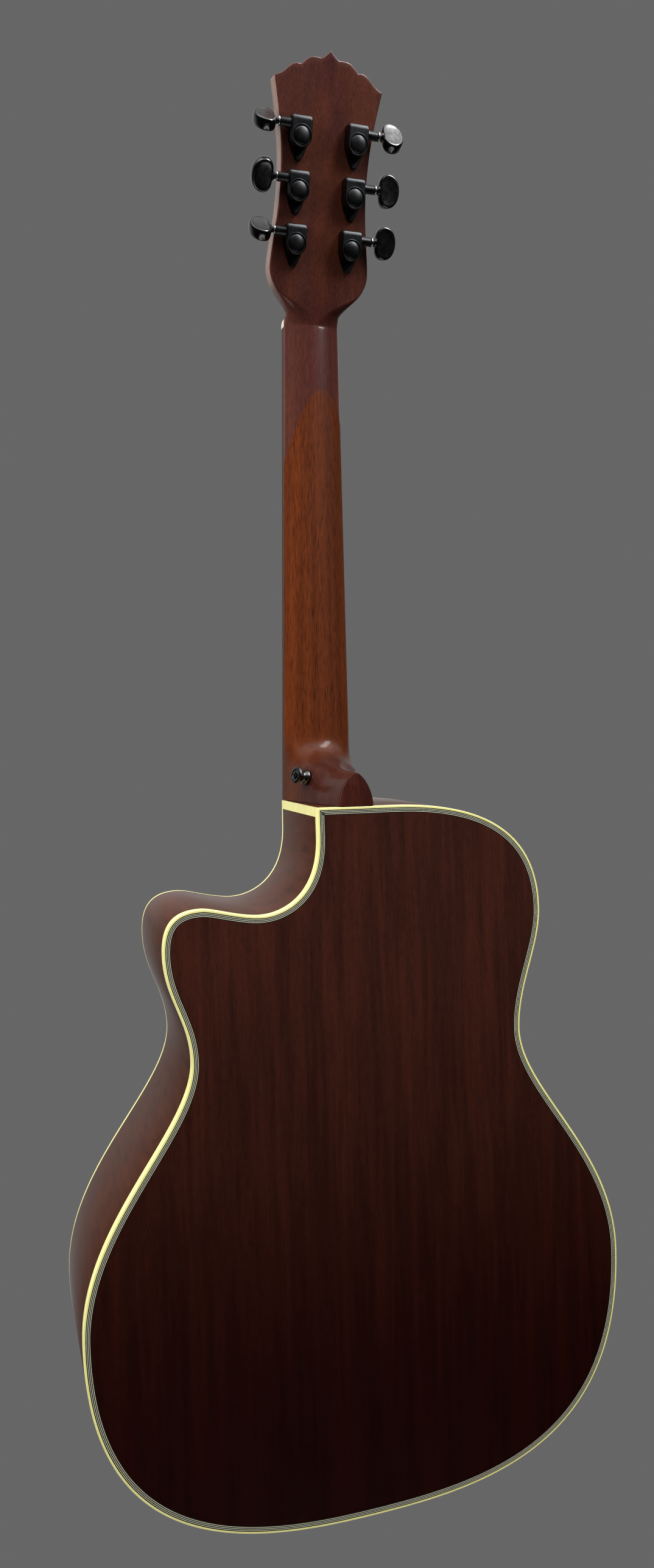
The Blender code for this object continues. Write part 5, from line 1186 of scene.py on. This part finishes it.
def tuner_places():
    """String number, side and row of each tuner: strings 1 to 3 treble, 6 to 4 bass."""
    rows = []
    for i, s in enumerate(POST_ROWS):
        rows += [(i + 1, 1, s), (6 - i, -1, s)]
    return rows


def housing_outline():
    """Plan of a housing, clockwise as seen from behind on the treble side: square top
    with rounded corners, sides, and a half circle below."""
    half, top, corner = 7.6, 13.3, 1.6
    quarter = np.linspace(0, math.pi / 2, 7)
    right = np.stack([half - corner * (1 - np.sin(quarter)), top - corner * (1 - np.cos(quarter))], 1)
    left = (right * [-1, 1])[::-1]
    below = np.linspace(0, -math.pi, 33)
    bowl = np.stack([half * np.cos(below), half * np.sin(below)], 1)
    return np.vstack([right, bowl, left])


def lug_outline():
    """Plan of the mounting lug: it tapers from the housing to a rounded point."""
    side = bezier([(7.0, -2.0), (6.1, -7.0), (4.2, -10.0), (2.9, -12.4)], 16)
    tip = bezier([(2.9, -12.4), (2.3, -14.1), (1.2, -14.9), (0.0, -14.9)], 8)
    return mirrored(np.vstack([side, tip, [(0.0, -14.9)]]))


def button_outline(size):
    """Kidney plan: nearly straight beside the shaft, round outside."""
    half, reach = size.button_half_height, size.button_length
    inner = bezier([(1.2, 0), (0.2, half * 0.5), (reach * 0.12, half), (reach * 0.45, half)], 20)
    outer = bezier([(reach * 0.45, half), (reach * 0.8, half), (reach, half * 0.55), (reach, 0)], 24)
    upper = np.vstack([inner, outer])
    return np.vstack([upper, [(reach, 0)], (upper * [1, -1])[::-1][:-1]])


class GUITAR_OT_tuners(bpy.types.Operator):
    """Six geared tuners: housings, buttons on their shafts, posts and bushings"""
    bl_idname = "guitar.tuners"
    bl_label = "Tuners"

    def execute(self, context):
        size = sizes()
        for number, side, s in tuner_places():
            self.housing(number, side, s)
            self.button(size, number, side, s)
            self.post(number, side, s)
        return {"FINISHED"}

    def housing(self, number, side, s):
        """Casting with a ringed, domed gear cap, a lug and a collar for the shaft."""
        def place(a, b, c):
            return head_place(side * (POST_X + a), s + b, HEAD_THICK + c)

        def along(a, b, c):
            return head_place(side * (POST_X + c), s + WORM_OFFSET + a, HEAD_THICK + DRIVE_HEIGHT + b)

        def eased(a, b, c):
            fall = 3.0 * (1 - np.sqrt(1 - np.clip((np.asarray(c) - 6.9) / 3.0, 0, 1) ** 2))
            return place(a, b - fall * np.clip(b / 13.3, 0, 1), c)

        walls = [(0.0, height) for height in (0.05, 3.0, 5.0, 6.6, 7.3, 7.9, 8.4)]
        block = stack(housing_outline(), walls + rounded(8.6, 9.8, 1.0, 6), eased, pole=(0.0, 3.0))
        cap = turned([(8.5, 0), (8.5, 7.4), (9.9, 7.4), (10.2, 7.32), (10.45, 7.1), (10.52, 6.9),
                      (10.45, 6.72), (9.75, 6.5), (9.4, 6.3), (9.45, 6.08), (10.1, 5.98), (10.4, 5.8),
                      (10.75, 5.2), (11.05, 4.3), (11.32, 3.1), (11.5, 1.7), (11.58, 0)], place, 64)
        lug = stack(lug_outline(), rounded(0.05, 2.5, 0.9, 5), place, pole=(0.0, -6.0))
        collar = turned([(3.0, 0), (3.0, 3.35), (9.2, 3.35), (9.6, 3.2), (14.9, 3.2), (15.25, 3.05),
                         (15.4, 2.8), (15.4, 0)], along, 40)
        piece("housing_%d" % number, [block, cap, lug, collar], finish(black_casting),
              stands_for=["tuner_housing_%d" % number], sharp=42)

        def front(a, b, c):
            return head_place(side * POST_X + a, s + b, -c)

        nut = stack(circle(6.2, 6), [(0.0, 0.8), (0.0, 2.8), (0.5, 3.4), (2.6, 3.4)], front)
        washer = turned([(-0.1, 3.6), (-0.1, 7.4), (0.6, 7.4), (0.85, 7.1), (0.85, 3.6), (-0.1, 3.6)],
                        front, 48)
        piece("bushing_%d" % number, [nut, washer], finish(bright_steel), sharp=25)

    def button(self, size, number, side, s):
        """Dished kidney button, turned to where it was left, with its stem and washer."""
        lean = math.radians(BUTTON_TURNS[number - 1])

        def along(a, b, c):
            return head_place(side * (POST_X + c), s + WORM_OFFSET + a, HEAD_THICK + DRIVE_HEIGHT + b)

        def leaned(a, b, c):
            return along(b * math.cos(lean) + c * math.sin(lean), c * math.cos(lean) - b * math.sin(lean),
                         BUTTON_START + a)

        outline = button_outline(size)
        normals = outward(outline)
        centre = np.array([size.button_length * 0.5, 0.0])
        rim = 1.9
        inner = outline - normals * rim
        face = ((0.0, 3.6), (0.4, 3.63), (0.7, 3.72), (0.9, 3.86))
        rows = [(centre + (inner - centre) * share, -height) for share, height in face]
        for angle in np.linspace(0, math.pi, 17):
            out = math.sin(angle) ** 0.7
            up = math.copysign(abs(math.cos(angle)) ** 0.8, math.cos(angle))
            rows.append((outline - normals * rim * (1 - out), -4.0 * up))
        rows += [(centre + (inner - centre) * share, height) for share, height in face[::-1]]
        body = surface(np.stack([leaned(*flat.T, height) for flat, height in rows]), wrap_cols=True)
        stem = turned([(-3.4, 0), (-3.4, 1.8), (17.0, 1.9), (17.6, 2.1), (18.6, 3.2), (20.4, 3.4),
                       (20.4, 0)], along, 32)
        name = "button_%d" % number
        piece(name, [body, stem], finish(black_gloss), name, ["tuner_" + name], sharp=50)
        washer = turned([(15.7, 1.9), (15.7, 3.2), (15.9, 3.4), (16.5, 3.4), (16.7, 3.2), (16.7, 1.9),
                         (15.7, 1.9)], along, 40)
        piece("stem_washer_%d" % number, [washer], finish(bright_steel), name)

    def post(self, number, side, s):
        """String post: a waisted spool with three turns of string on it."""
        def front(a, b, c):
            return head_place(side * POST_X + a, s + b, -c)

        spool = turned([(-18.0, 0), (-18.0, 3.0), (4.9, 3.0), (5.4, 2.65), (9.6, 2.5), (12.6, 2.55),
                        (13.4, 3.0), (16.2, 3.0), (16.8, 2.7), (17.0, 2.2), (17.0, 0)], front, 48)
        name = "post_%d" % number
        piece(name, [spool], finish(bright_steel), name, ["tuner_" + name])
        thick = max(STRING_RADII[number - 1], 0.22)
        turns = min(4.0, 3.4 / (2.1 * thick))
        angle = np.linspace(0, 2 * math.pi * turns, int(40 * turns))
        ring = COIL_RADIUS + thick
        start = COIL_FRONT - turns * thick * 1.05
        coil = front(ring * np.cos(angle + math.pi / 2), ring * side * np.sin(angle + math.pi / 2),
                     start + thick * 1.05 * angle / math.pi)
        look, slot = string_look(number)
        piece("string_coil_%d" % number, [tube(coil, thick, 10, thick)], look, name, sharp=60)


# Bridge and strings

def saddle_place(a, b, c):
    """Along the slanted saddle, across it, and forward."""
    cos, sin = math.cos(SADDLE_SLANT), math.sin(SADDLE_SLANT)
    return body_place(a * cos - b * sin, SADDLE_V + a * sin + b * cos, -c)


def string_lane(number, spread):
    return spread / 2 - (number - 1) * spread / 5


def string_look(number):
    """Finish and slot of a string: the two thinnest are plain steel, and the rest wound."""
    if number > 2:
        return finish(wound_bronze), "bronze_string"
    return finish(bright_steel, "plain_wire", 0.18), "steel"


class GUITAR_OT_bridge_and_strings(bpy.types.Operator):
    """Bridge with saddle and pins, and six strings over it"""
    bl_idname = "guitar.bridge_and_strings"
    bl_label = "Bridge and Strings"

    def execute(self, context):
        self.bridge()
        self.saddle()
        self.pins()
        for number, side, s in tuner_places():
            self.string(number, side, s)
        dress(finish(moulded_black), "saddle_pickup")
        return {"FINISHED"}

    def bridge(self):
        """Bridge: rows across the guitar. Its lower edge is a parabola, its thickness falls
        from the middle to the wings by a smooth step, and its ends are rounded."""
        end = 0.06 * (1 - np.cos(np.linspace(0, math.pi / 2, 8)))
        x = np.concatenate([-1 + end, np.linspace(-0.92, 0.92, 60), 1 - end[::-1]])
        edge = np.sqrt(np.clip(1 - (np.maximum(0, np.abs(x) - 0.9) / 0.1) ** 2, 0, 1))
        belly = 8.0 * np.maximum(0, 1 - (np.abs(x) / 0.62) ** 2) ** 1.2
        thick = 5.0 + 3.4 * smoothstep((0.66 - np.abs(x)) / 0.24)
        thick *= 0.72 + 0.28 * edge
        half = 13.0 * (0.66 + 0.34 * edge)
        upper, lower = half - 3.0, -half - 3.0 - belly
        turn = np.linspace(0, math.pi / 2, 6)
        round_in = 1.5 * (1 - np.cos(turn))
        rise = [thick - 1.5 + 1.5 * math.sin(t) for t in turn]
        rows = [upper, *[upper - r for r in round_in], *[lower + r for r in round_in[::-1]], lower]
        heights = [0 * thick, *rise, *rise[::-1], 0 * thick]
        grid = body_place((x * BRIDGE_HALF)[:, None], SADDLE_V + np.stack(rows, 1),
                          -np.stack(heights, 1) - 0.02)
        piece("bridge_block", [surface(grid, wrap_cols=True, cap_rows=True)], finish(rosewood),
              stands_for=["bridge"], sharp=50)

    def saddle(self):
        """Saddle: a thin bar with a rounded top that follows the strings' camber."""
        a = np.linspace(-36.5, 36.5, 30)[:, None]
        turn = np.linspace(0, math.pi, 9)
        b = np.concatenate([[-1.5], -1.5 * np.cos(turn), [1.5]])
        bow = np.concatenate([[0], np.sin(turn), [0]])
        c = 11.4 - a * a / 900.0 - 1.2 + 1.2 * bow
        c[:, [0, -1]] = 5.0
        piece("saddle_bone", [surface(saddle_place(a, b, c), wrap_cols=True, cap_rows=True)],
              finish(polished_bone), stands_for=["saddle"], sharp=50)

    def pins(self):
        """Six bridge pins: a flared head with a pearl dot."""
        heads, dots = [], []
        for number in range(1, 7):
            x = string_lane(number, BRIDGE_SPREAD)
            v = SADDLE_V + x * math.tan(SADDLE_SLANT) - 13.0

            def place(a, b, c, x=x, v=v):
                return body_place(x + a, v + b, -8.3 - c)

            heads.append(turned([(-4.0, 0), (-4.0, 2.4), (0.1, 2.6), (0.5, 3.7), (1.6, 3.9), (2.7, 3.5),
                                 (3.5, 2.5), (3.8, 1.3), (3.8, 0)], place, 32))
            dots.append(turned([(3.3, 0), (3.3, 1.15), (3.84, 1.15), (3.9, 0.6), (3.92, 0)], place, 24))
        piece("bridge_pins", heads, finish(moulded_black, "pin_black", 0.22))
        piece("pin_dots", dots, finish(pearl))

    def string(self, number, side, s):
        """One string: out of its pin, over saddle and nut, to its post."""
        radius = STRING_RADII[number - 1]
        bridge_x, nut_x = string_lane(number, BRIDGE_SPREAD), string_lane(number, NUT_SPREAD)
        saddle_v = SADDLE_V + bridge_x * math.tan(SADDLE_SLANT)
        over_saddle = BOARD_FACE - 5.1 - radius
        over_nut = BOARD_FACE - 1.5 - radius
        lane = side * POST_X - side * (COIL_RADIUS + radius)
        stops = [body_place(bridge_x, saddle_v - 11.6, -7.4),
                 body_place(bridge_x, saddle_v - 9.6, -8.9 - radius),
                 body_place(bridge_x, saddle_v - 0.6, over_saddle),
                 body_place(bridge_x, saddle_v + 1.2, over_saddle),
                 body_place(nut_x, NUT_UP, over_nut),
                 body_place(nut_x, NUT_UP + 2.5, over_nut),
                 head_place(lane, s, -COIL_FRONT)]
        path = [stops[0][None]]
        for first, second in zip(stops, stops[1:]):
            steps = max(2, int(np.linalg.norm(second - first) / 12))
            share = np.linspace(0, 1, steps + 1)[1:, None]
            path.append(first + (second - first) * share)
        look, slot = string_look(number)
        piece("steel_string_%d" % number, [tube(np.vstack(path), radius, 8, radius)], look,
              stands_for=["string_%d" % number], sharp=80)


# Fittings

def strap_place(size):
    """Axis of the heel's strap button, square to the heel's treble side."""
    up, depth = STRAP_SEAT
    spots = np.array([(up, depth), (up, depth - 6), (up, depth + 6), (up - 4, depth), (up + 4, depth)])
    seat, near, far, low, high = heel_half(size, *spots.T).tolist()
    axis = (1.0, (near - far) / 12, (low - high) / 8)
    return axis_place(body_place(seat, up, depth), axis, (0.0, 0.0, 1.0))


class GUITAR_OT_fittings(bpy.types.Operator):
    """Strap button, end-pin jack, preamp with its knobs and battery door"""
    bl_idname = "guitar.fittings"
    bl_label = "Fittings"

    def execute(self, context):
        size = sizes()
        place = strap_place(size)
        button = turned([(0.2, 0), (0.2, 5.4), (0.7, 5.75), (1.5, 5.85), (2.3, 5.5), (3.2, 4.6), (4.2, 3.9),
                         (5.2, 3.6), (6.8, 3.9), (7.6, 4.9), (8.3, 5.9), (9.0, 6.35), (9.8, 6.3),
                         (10.4, 5.7), (10.6, 4.7), (10.5, 3.6), (10.1, 3.3), (10.1, 0)], place, 64)
        piece("strap_button", [button], finish(black_gloss), stands_for=["heel_strap_button"],
              sharp=50)

        def on_top(a, b, c):
            return place(a, b, np.asarray(c) + 10.05)

        piece("strap_screw", [screw_top(on_top, 3.2, 1.1, 0.42, 1.9, 1.0)], finish(black_gloss),
              stands_for=["strap_button_screw"], sharp=50)
        self.jack(size)
        self.preamp()
        return {"FINISHED"}

    def jack(self, size):
        """End-pin jack: a waisted strap button with an open socket."""
        middle = back_y(-size.body_length) / 2
        place = axis_place(body_place(0.0, -size.body_length, middle), (0, 0, -1), (1, 0, 0))
        shell = turned([(-34, 3.3), (-34, 5.9), (0.4, 5.9), (0.4, 8.7), (1.2, 8.8), (2.2, 8.5), (3.2, 7.2),
                        (4.2, 6.5), (8.2, 6.2), (9.2, 6.6), (10.0, 7.5), (10.7, 7.8), (11.4, 7.7),
                        (12.0, 7.0), (12.0, 4.2), (11.5, 3.5), (10.5, 3.3), (-34, 3.3)], place, 64)
        piece("jack_barrel", [shell], finish(bright_steel, "black_nickel", 0.25, (0.09, 0.09, 0.095)),
              stands_for=["end_pin_jack"], sharp=40)
        dress(finish(bright_steel), "end_pin_nut")

    def preamp(self):
        """Ribbed knobs with their marks, and the finish of the rest."""
        dress(finish(moulded_black), "preamp_housing", "battery_door")
        dress(finish(battery_wrap), "battery")
        joints = {joint["name"]: joint for joint in frame["joints"]}
        turn = np.linspace(0, 2 * math.pi, 144, endpoint=False)
        rib = 0.035 * np.sign(np.sin(24 * turn)) * np.abs(np.sin(24 * turn)) ** 0.4
        along, radius, ribbed = np.array([
            (-7.0, 0, 0), (-7.0, 3.0, 0), (0.4, 3.0, 0), (0.4, 5.8, 0), (0.9, 6.0, 1), (6.6, 5.7, 1),
            (7.3, 5.5, 1), (7.8, 5.1, 0), (8.0, 4.6, 0), (7.7, 4.2, 0), (7.7, 0, 0)]).T[:, :, None]
        radius = radius * (1 + rib * ribbed)
        for body in ("tone", "volume"):
            name = body + "_knob"
            joint = joints[name + "_turn"]
            place = axis_place(np.array(joint["pos_m"]) / MM, joint["axis"], (0, 0, 1))
            knob = surface(place(radius * np.cos(turn), radius * np.sin(turn), along), wrap_cols=True)
            piece(name + "_grip", [knob], finish(moulded_black, "knob_black", 0.32), body, [name],
                  sharp=35)
            mark = stack(np.array([(1.2, 0.35), (5.0, 0.35), (5.0, -0.35), (1.2, -0.35)]),
                         [(0.0, 7.5), (0.0, 7.98), (0.08, 8.04)], place)
            piece(name + "_mark", [mark], finish(polished_bone, "mark_white", (0.8, 0.8, 0.78)), body)


# Stage

class GUITAR_OT_stage(bpy.types.Operator):
    """Pale floor, soft lights, plain backdrop and the camera"""
    bl_idname = "guitar.stage"
    bl_label = "Stage"

    def execute(self, context):
        stage = context.scene.guitar_stage
        self.floor(stage)
        self.backdrop(stage)
        for name, place, aim, width, height, energy in (
                ("key_softbox", (-0.80, 1.15, 1.25), -0.35, 0.5, 1.3, stage.key_power),
                ("side_softbox", (1.7, 0.42, 0.35), -0.40, 1.2, 1.2, stage.side_power),
                ("top_softbox", (0.1, 0.5, 1.5), 0.0, 1.2, 1.2, stage.top_power),
                ("front_softbox", (-0.4, -1.3, 1.5), -0.4, 1.4, 1.4, stage.front_power)):
            light = self.light(name, place, (0.0, 0.0, aim), width, height, energy)
            light.visible_glossy = name == "key_softbox"
        self.camera(stage)
        return {"FINISHED"}

    def floor(self, stage):
        """Round floor: rings from the centre out."""
        radius = np.linspace(0, 0.72, 12)[:, None] / MM
        turn = np.linspace(0, 2 * math.pi, 96, endpoint=False)[None]
        low = -stage.floor_drop / MM
        top = np.stack([radius * np.cos(turn), radius * np.sin(turn), low + 0 * radius * turn], -1)
        grid = np.concatenate([top, top[::-1] - [0, 0, 20.0]])
        flat = surface(grid, wrap_cols=True)
        mesh = bpy.data.meshes.new("floor")
        mesh.from_pydata((flat.points * MM).tolist(), [], flat.quads.tolist())
        weld(mesh, 0.00001)
        obj = bpy.data.objects.new("floor", mesh)
        bpy.context.scene.collection.objects.link(obj)
        f = Finish("pale_floor", 0.7, specular=0.2)
        cloud = f.noise(f.where(), 6.0, 3.0)
        mesh.materials.append(f.done(f.ramp(cloud, [(0.3, (0.60, 0.60, 0.59)), (0.7, (0.66, 0.66, 0.65))])))

    def backdrop(self, stage):
        """Even grey where the camera looks past the guitar. As light it is a room: a pale wall
        behind the guitar, a bright ceiling, and a darker room below and behind the camera.
        Each part is a smooth step of the direction's height or of its Y."""
        world = bpy.data.worlds.new("plain_backdrop")
        world.use_nodes = True
        tree = world.node_tree
        tree.nodes.clear()

        def add(kind, **inputs):
            made = tree.nodes.new(kind)
            for key, value in inputs.items():
                tree.links.new(value, made.inputs[key])
            return made

        def step(value, low, high, reached):
            made = add("ShaderNodeMapRange", Value=value)
            made.interpolation_type = "SMOOTHSTEP"
            for key, number in zip(("From Min", "From Max", "To Min", "To Max"), (low, high, 0.0, reached)):
                made.inputs[key].default_value = number
            return made.outputs["Result"]

        def maths(operation, first, second):
            made = tree.nodes.new("ShaderNodeMath")
            made.operation = operation
            for socket, value in zip(made.inputs, (first, second)):
                if isinstance(value, bpy.types.NodeSocket):
                    tree.links.new(value, socket)
                else:
                    socket.default_value = value
            return made.outputs[0]

        split = add("ShaderNodeSeparateXYZ", Vector=add("ShaderNodeTexCoord").outputs["Generated"])
        y, z = split.outputs["Y"], split.outputs["Z"]
        height = maths("ADD", step(z, -0.95, -0.35, 1.0), step(z, -0.05, 0.25, 0.7))
        wall = maths("MULTIPLY", step(y, -0.30, -0.90, stage.wall), height)
        room = step(z, -0.45, 0.05, stage.room)
        toward = maths("ADD", step(y, -0.45, 0.25, 0.85), 0.15)
        ceiling = maths("MULTIPLY", step(z, 0.45, 0.85, stage.ceiling), toward)
        lit = add("ShaderNodeBackground",
                  Color=maths("ADD", maths("ADD", wall, room), maths("ADD", ceiling, 0.006)))
        seen = add("ShaderNodeBackground")
        seen.inputs["Color"].default_value = (stage.backdrop,) * 3 + (1.0,)
        mix, out = add("ShaderNodeMixShader"), tree.nodes.new("ShaderNodeOutputWorld")
        tree.links.new(add("ShaderNodeLightPath").outputs["Is Camera Ray"], mix.inputs[0])
        tree.links.new(lit.outputs[0], mix.inputs[1])
        tree.links.new(seen.outputs[0], mix.inputs[2])
        tree.links.new(mix.outputs[0], out.inputs["Surface"])
        bpy.context.scene.world = world

    def light(self, name, place, target, width, height, energy):
        data = bpy.data.lights.new(name, "AREA")
        data.shape = "RECTANGLE"
        data.size, data.size_y = width, height
        data.energy = energy
        obj = bpy.data.objects.new(name, data)
        obj.location = place
        aim = Vector(target) - Vector(place)
        obj.rotation_euler = aim.to_track_quat("-Z", "Y").to_euler()
        bpy.context.scene.collection.objects.link(obj)
        return obj

    def camera(self, stage):
        """Camera: looks 17.9 degrees across the guitar and 3 degrees down, rolled 0.8."""
        yaw, pitch, roll = (math.radians(angle) for angle in (17.895, -3.012, -0.787))
        data = bpy.data.cameras.new("photo_camera")
        data.sensor_fit = "VERTICAL"
        data.sensor_height = 36.0
        data.lens = stage.focal_length
        data.clip_start = 0.01
        obj = bpy.data.objects.new("photo_camera", data)
        turn = (Matrix.Rotation(math.pi - yaw, 4, "Z") @ Matrix.Rotation(math.pi / 2 + pitch, 4, "X")
                @ Matrix.Rotation(roll, 4, "Z"))
        obj.matrix_world = Matrix.Translation(stage.camera_place) @ turn
        bpy.context.scene.collection.objects.link(obj)
        bpy.context.scene.camera = obj
        bpy.context.scene.view_settings.view_transform = "Standard"


class GUITAR_PT_panel(bpy.types.Panel):
    """Buttons and settings in the sidebar"""
    bl_idname = "GUITAR_PT_panel"
    bl_label = "Guitar"
    bl_space_type = "VIEW_3D"
    bl_region_type = "UI"
    bl_category = "Guitar"

    def draw(self, context):
        for operator in OPERATORS:
            self.layout.operator(operator.bl_idname)
        for group, kind in GROUPS.items():
            column = self.layout.column(align=True)
            for name in kind.__annotations__:
                column.prop(getattr(context.scene, group), name)


OPERATORS = (GUITAR_OT_back_and_sides, GUITAR_OT_soundboard, GUITAR_OT_neck, GUITAR_OT_fretboard,
             GUITAR_OT_tuners, GUITAR_OT_bridge_and_strings, GUITAR_OT_fittings, GUITAR_OT_stage)
GROUPS = {"guitar_sizes": GuitarSizes, "guitar_colours": GuitarColours, "guitar_stage": GuitarStage}


def register():
    for kind in (*GROUPS.values(), *OPERATORS, GUITAR_PT_panel):
        bpy.utils.register_class(kind)
    for name, kind in GROUPS.items():
        setattr(bpy.types.Scene, name, PointerProperty(type=kind))


def unregister():
    for name in GROUPS:
        delattr(bpy.types.Scene, name)
    for kind in reversed((*GROUPS.values(), *OPERATORS, GUITAR_PT_panel)):
        bpy.utils.unregister_class(kind)


def main():
    register()
    bpy.ops.guitar.back_and_sides()
    bpy.ops.guitar.soundboard()
    bpy.ops.guitar.neck()
    bpy.ops.guitar.fretboard()
    bpy.ops.guitar.tuners()
    bpy.ops.guitar.bridge_and_strings()
    bpy.ops.guitar.fittings()
    bpy.ops.guitar.stage()


if __name__ == "__main__":
    main()
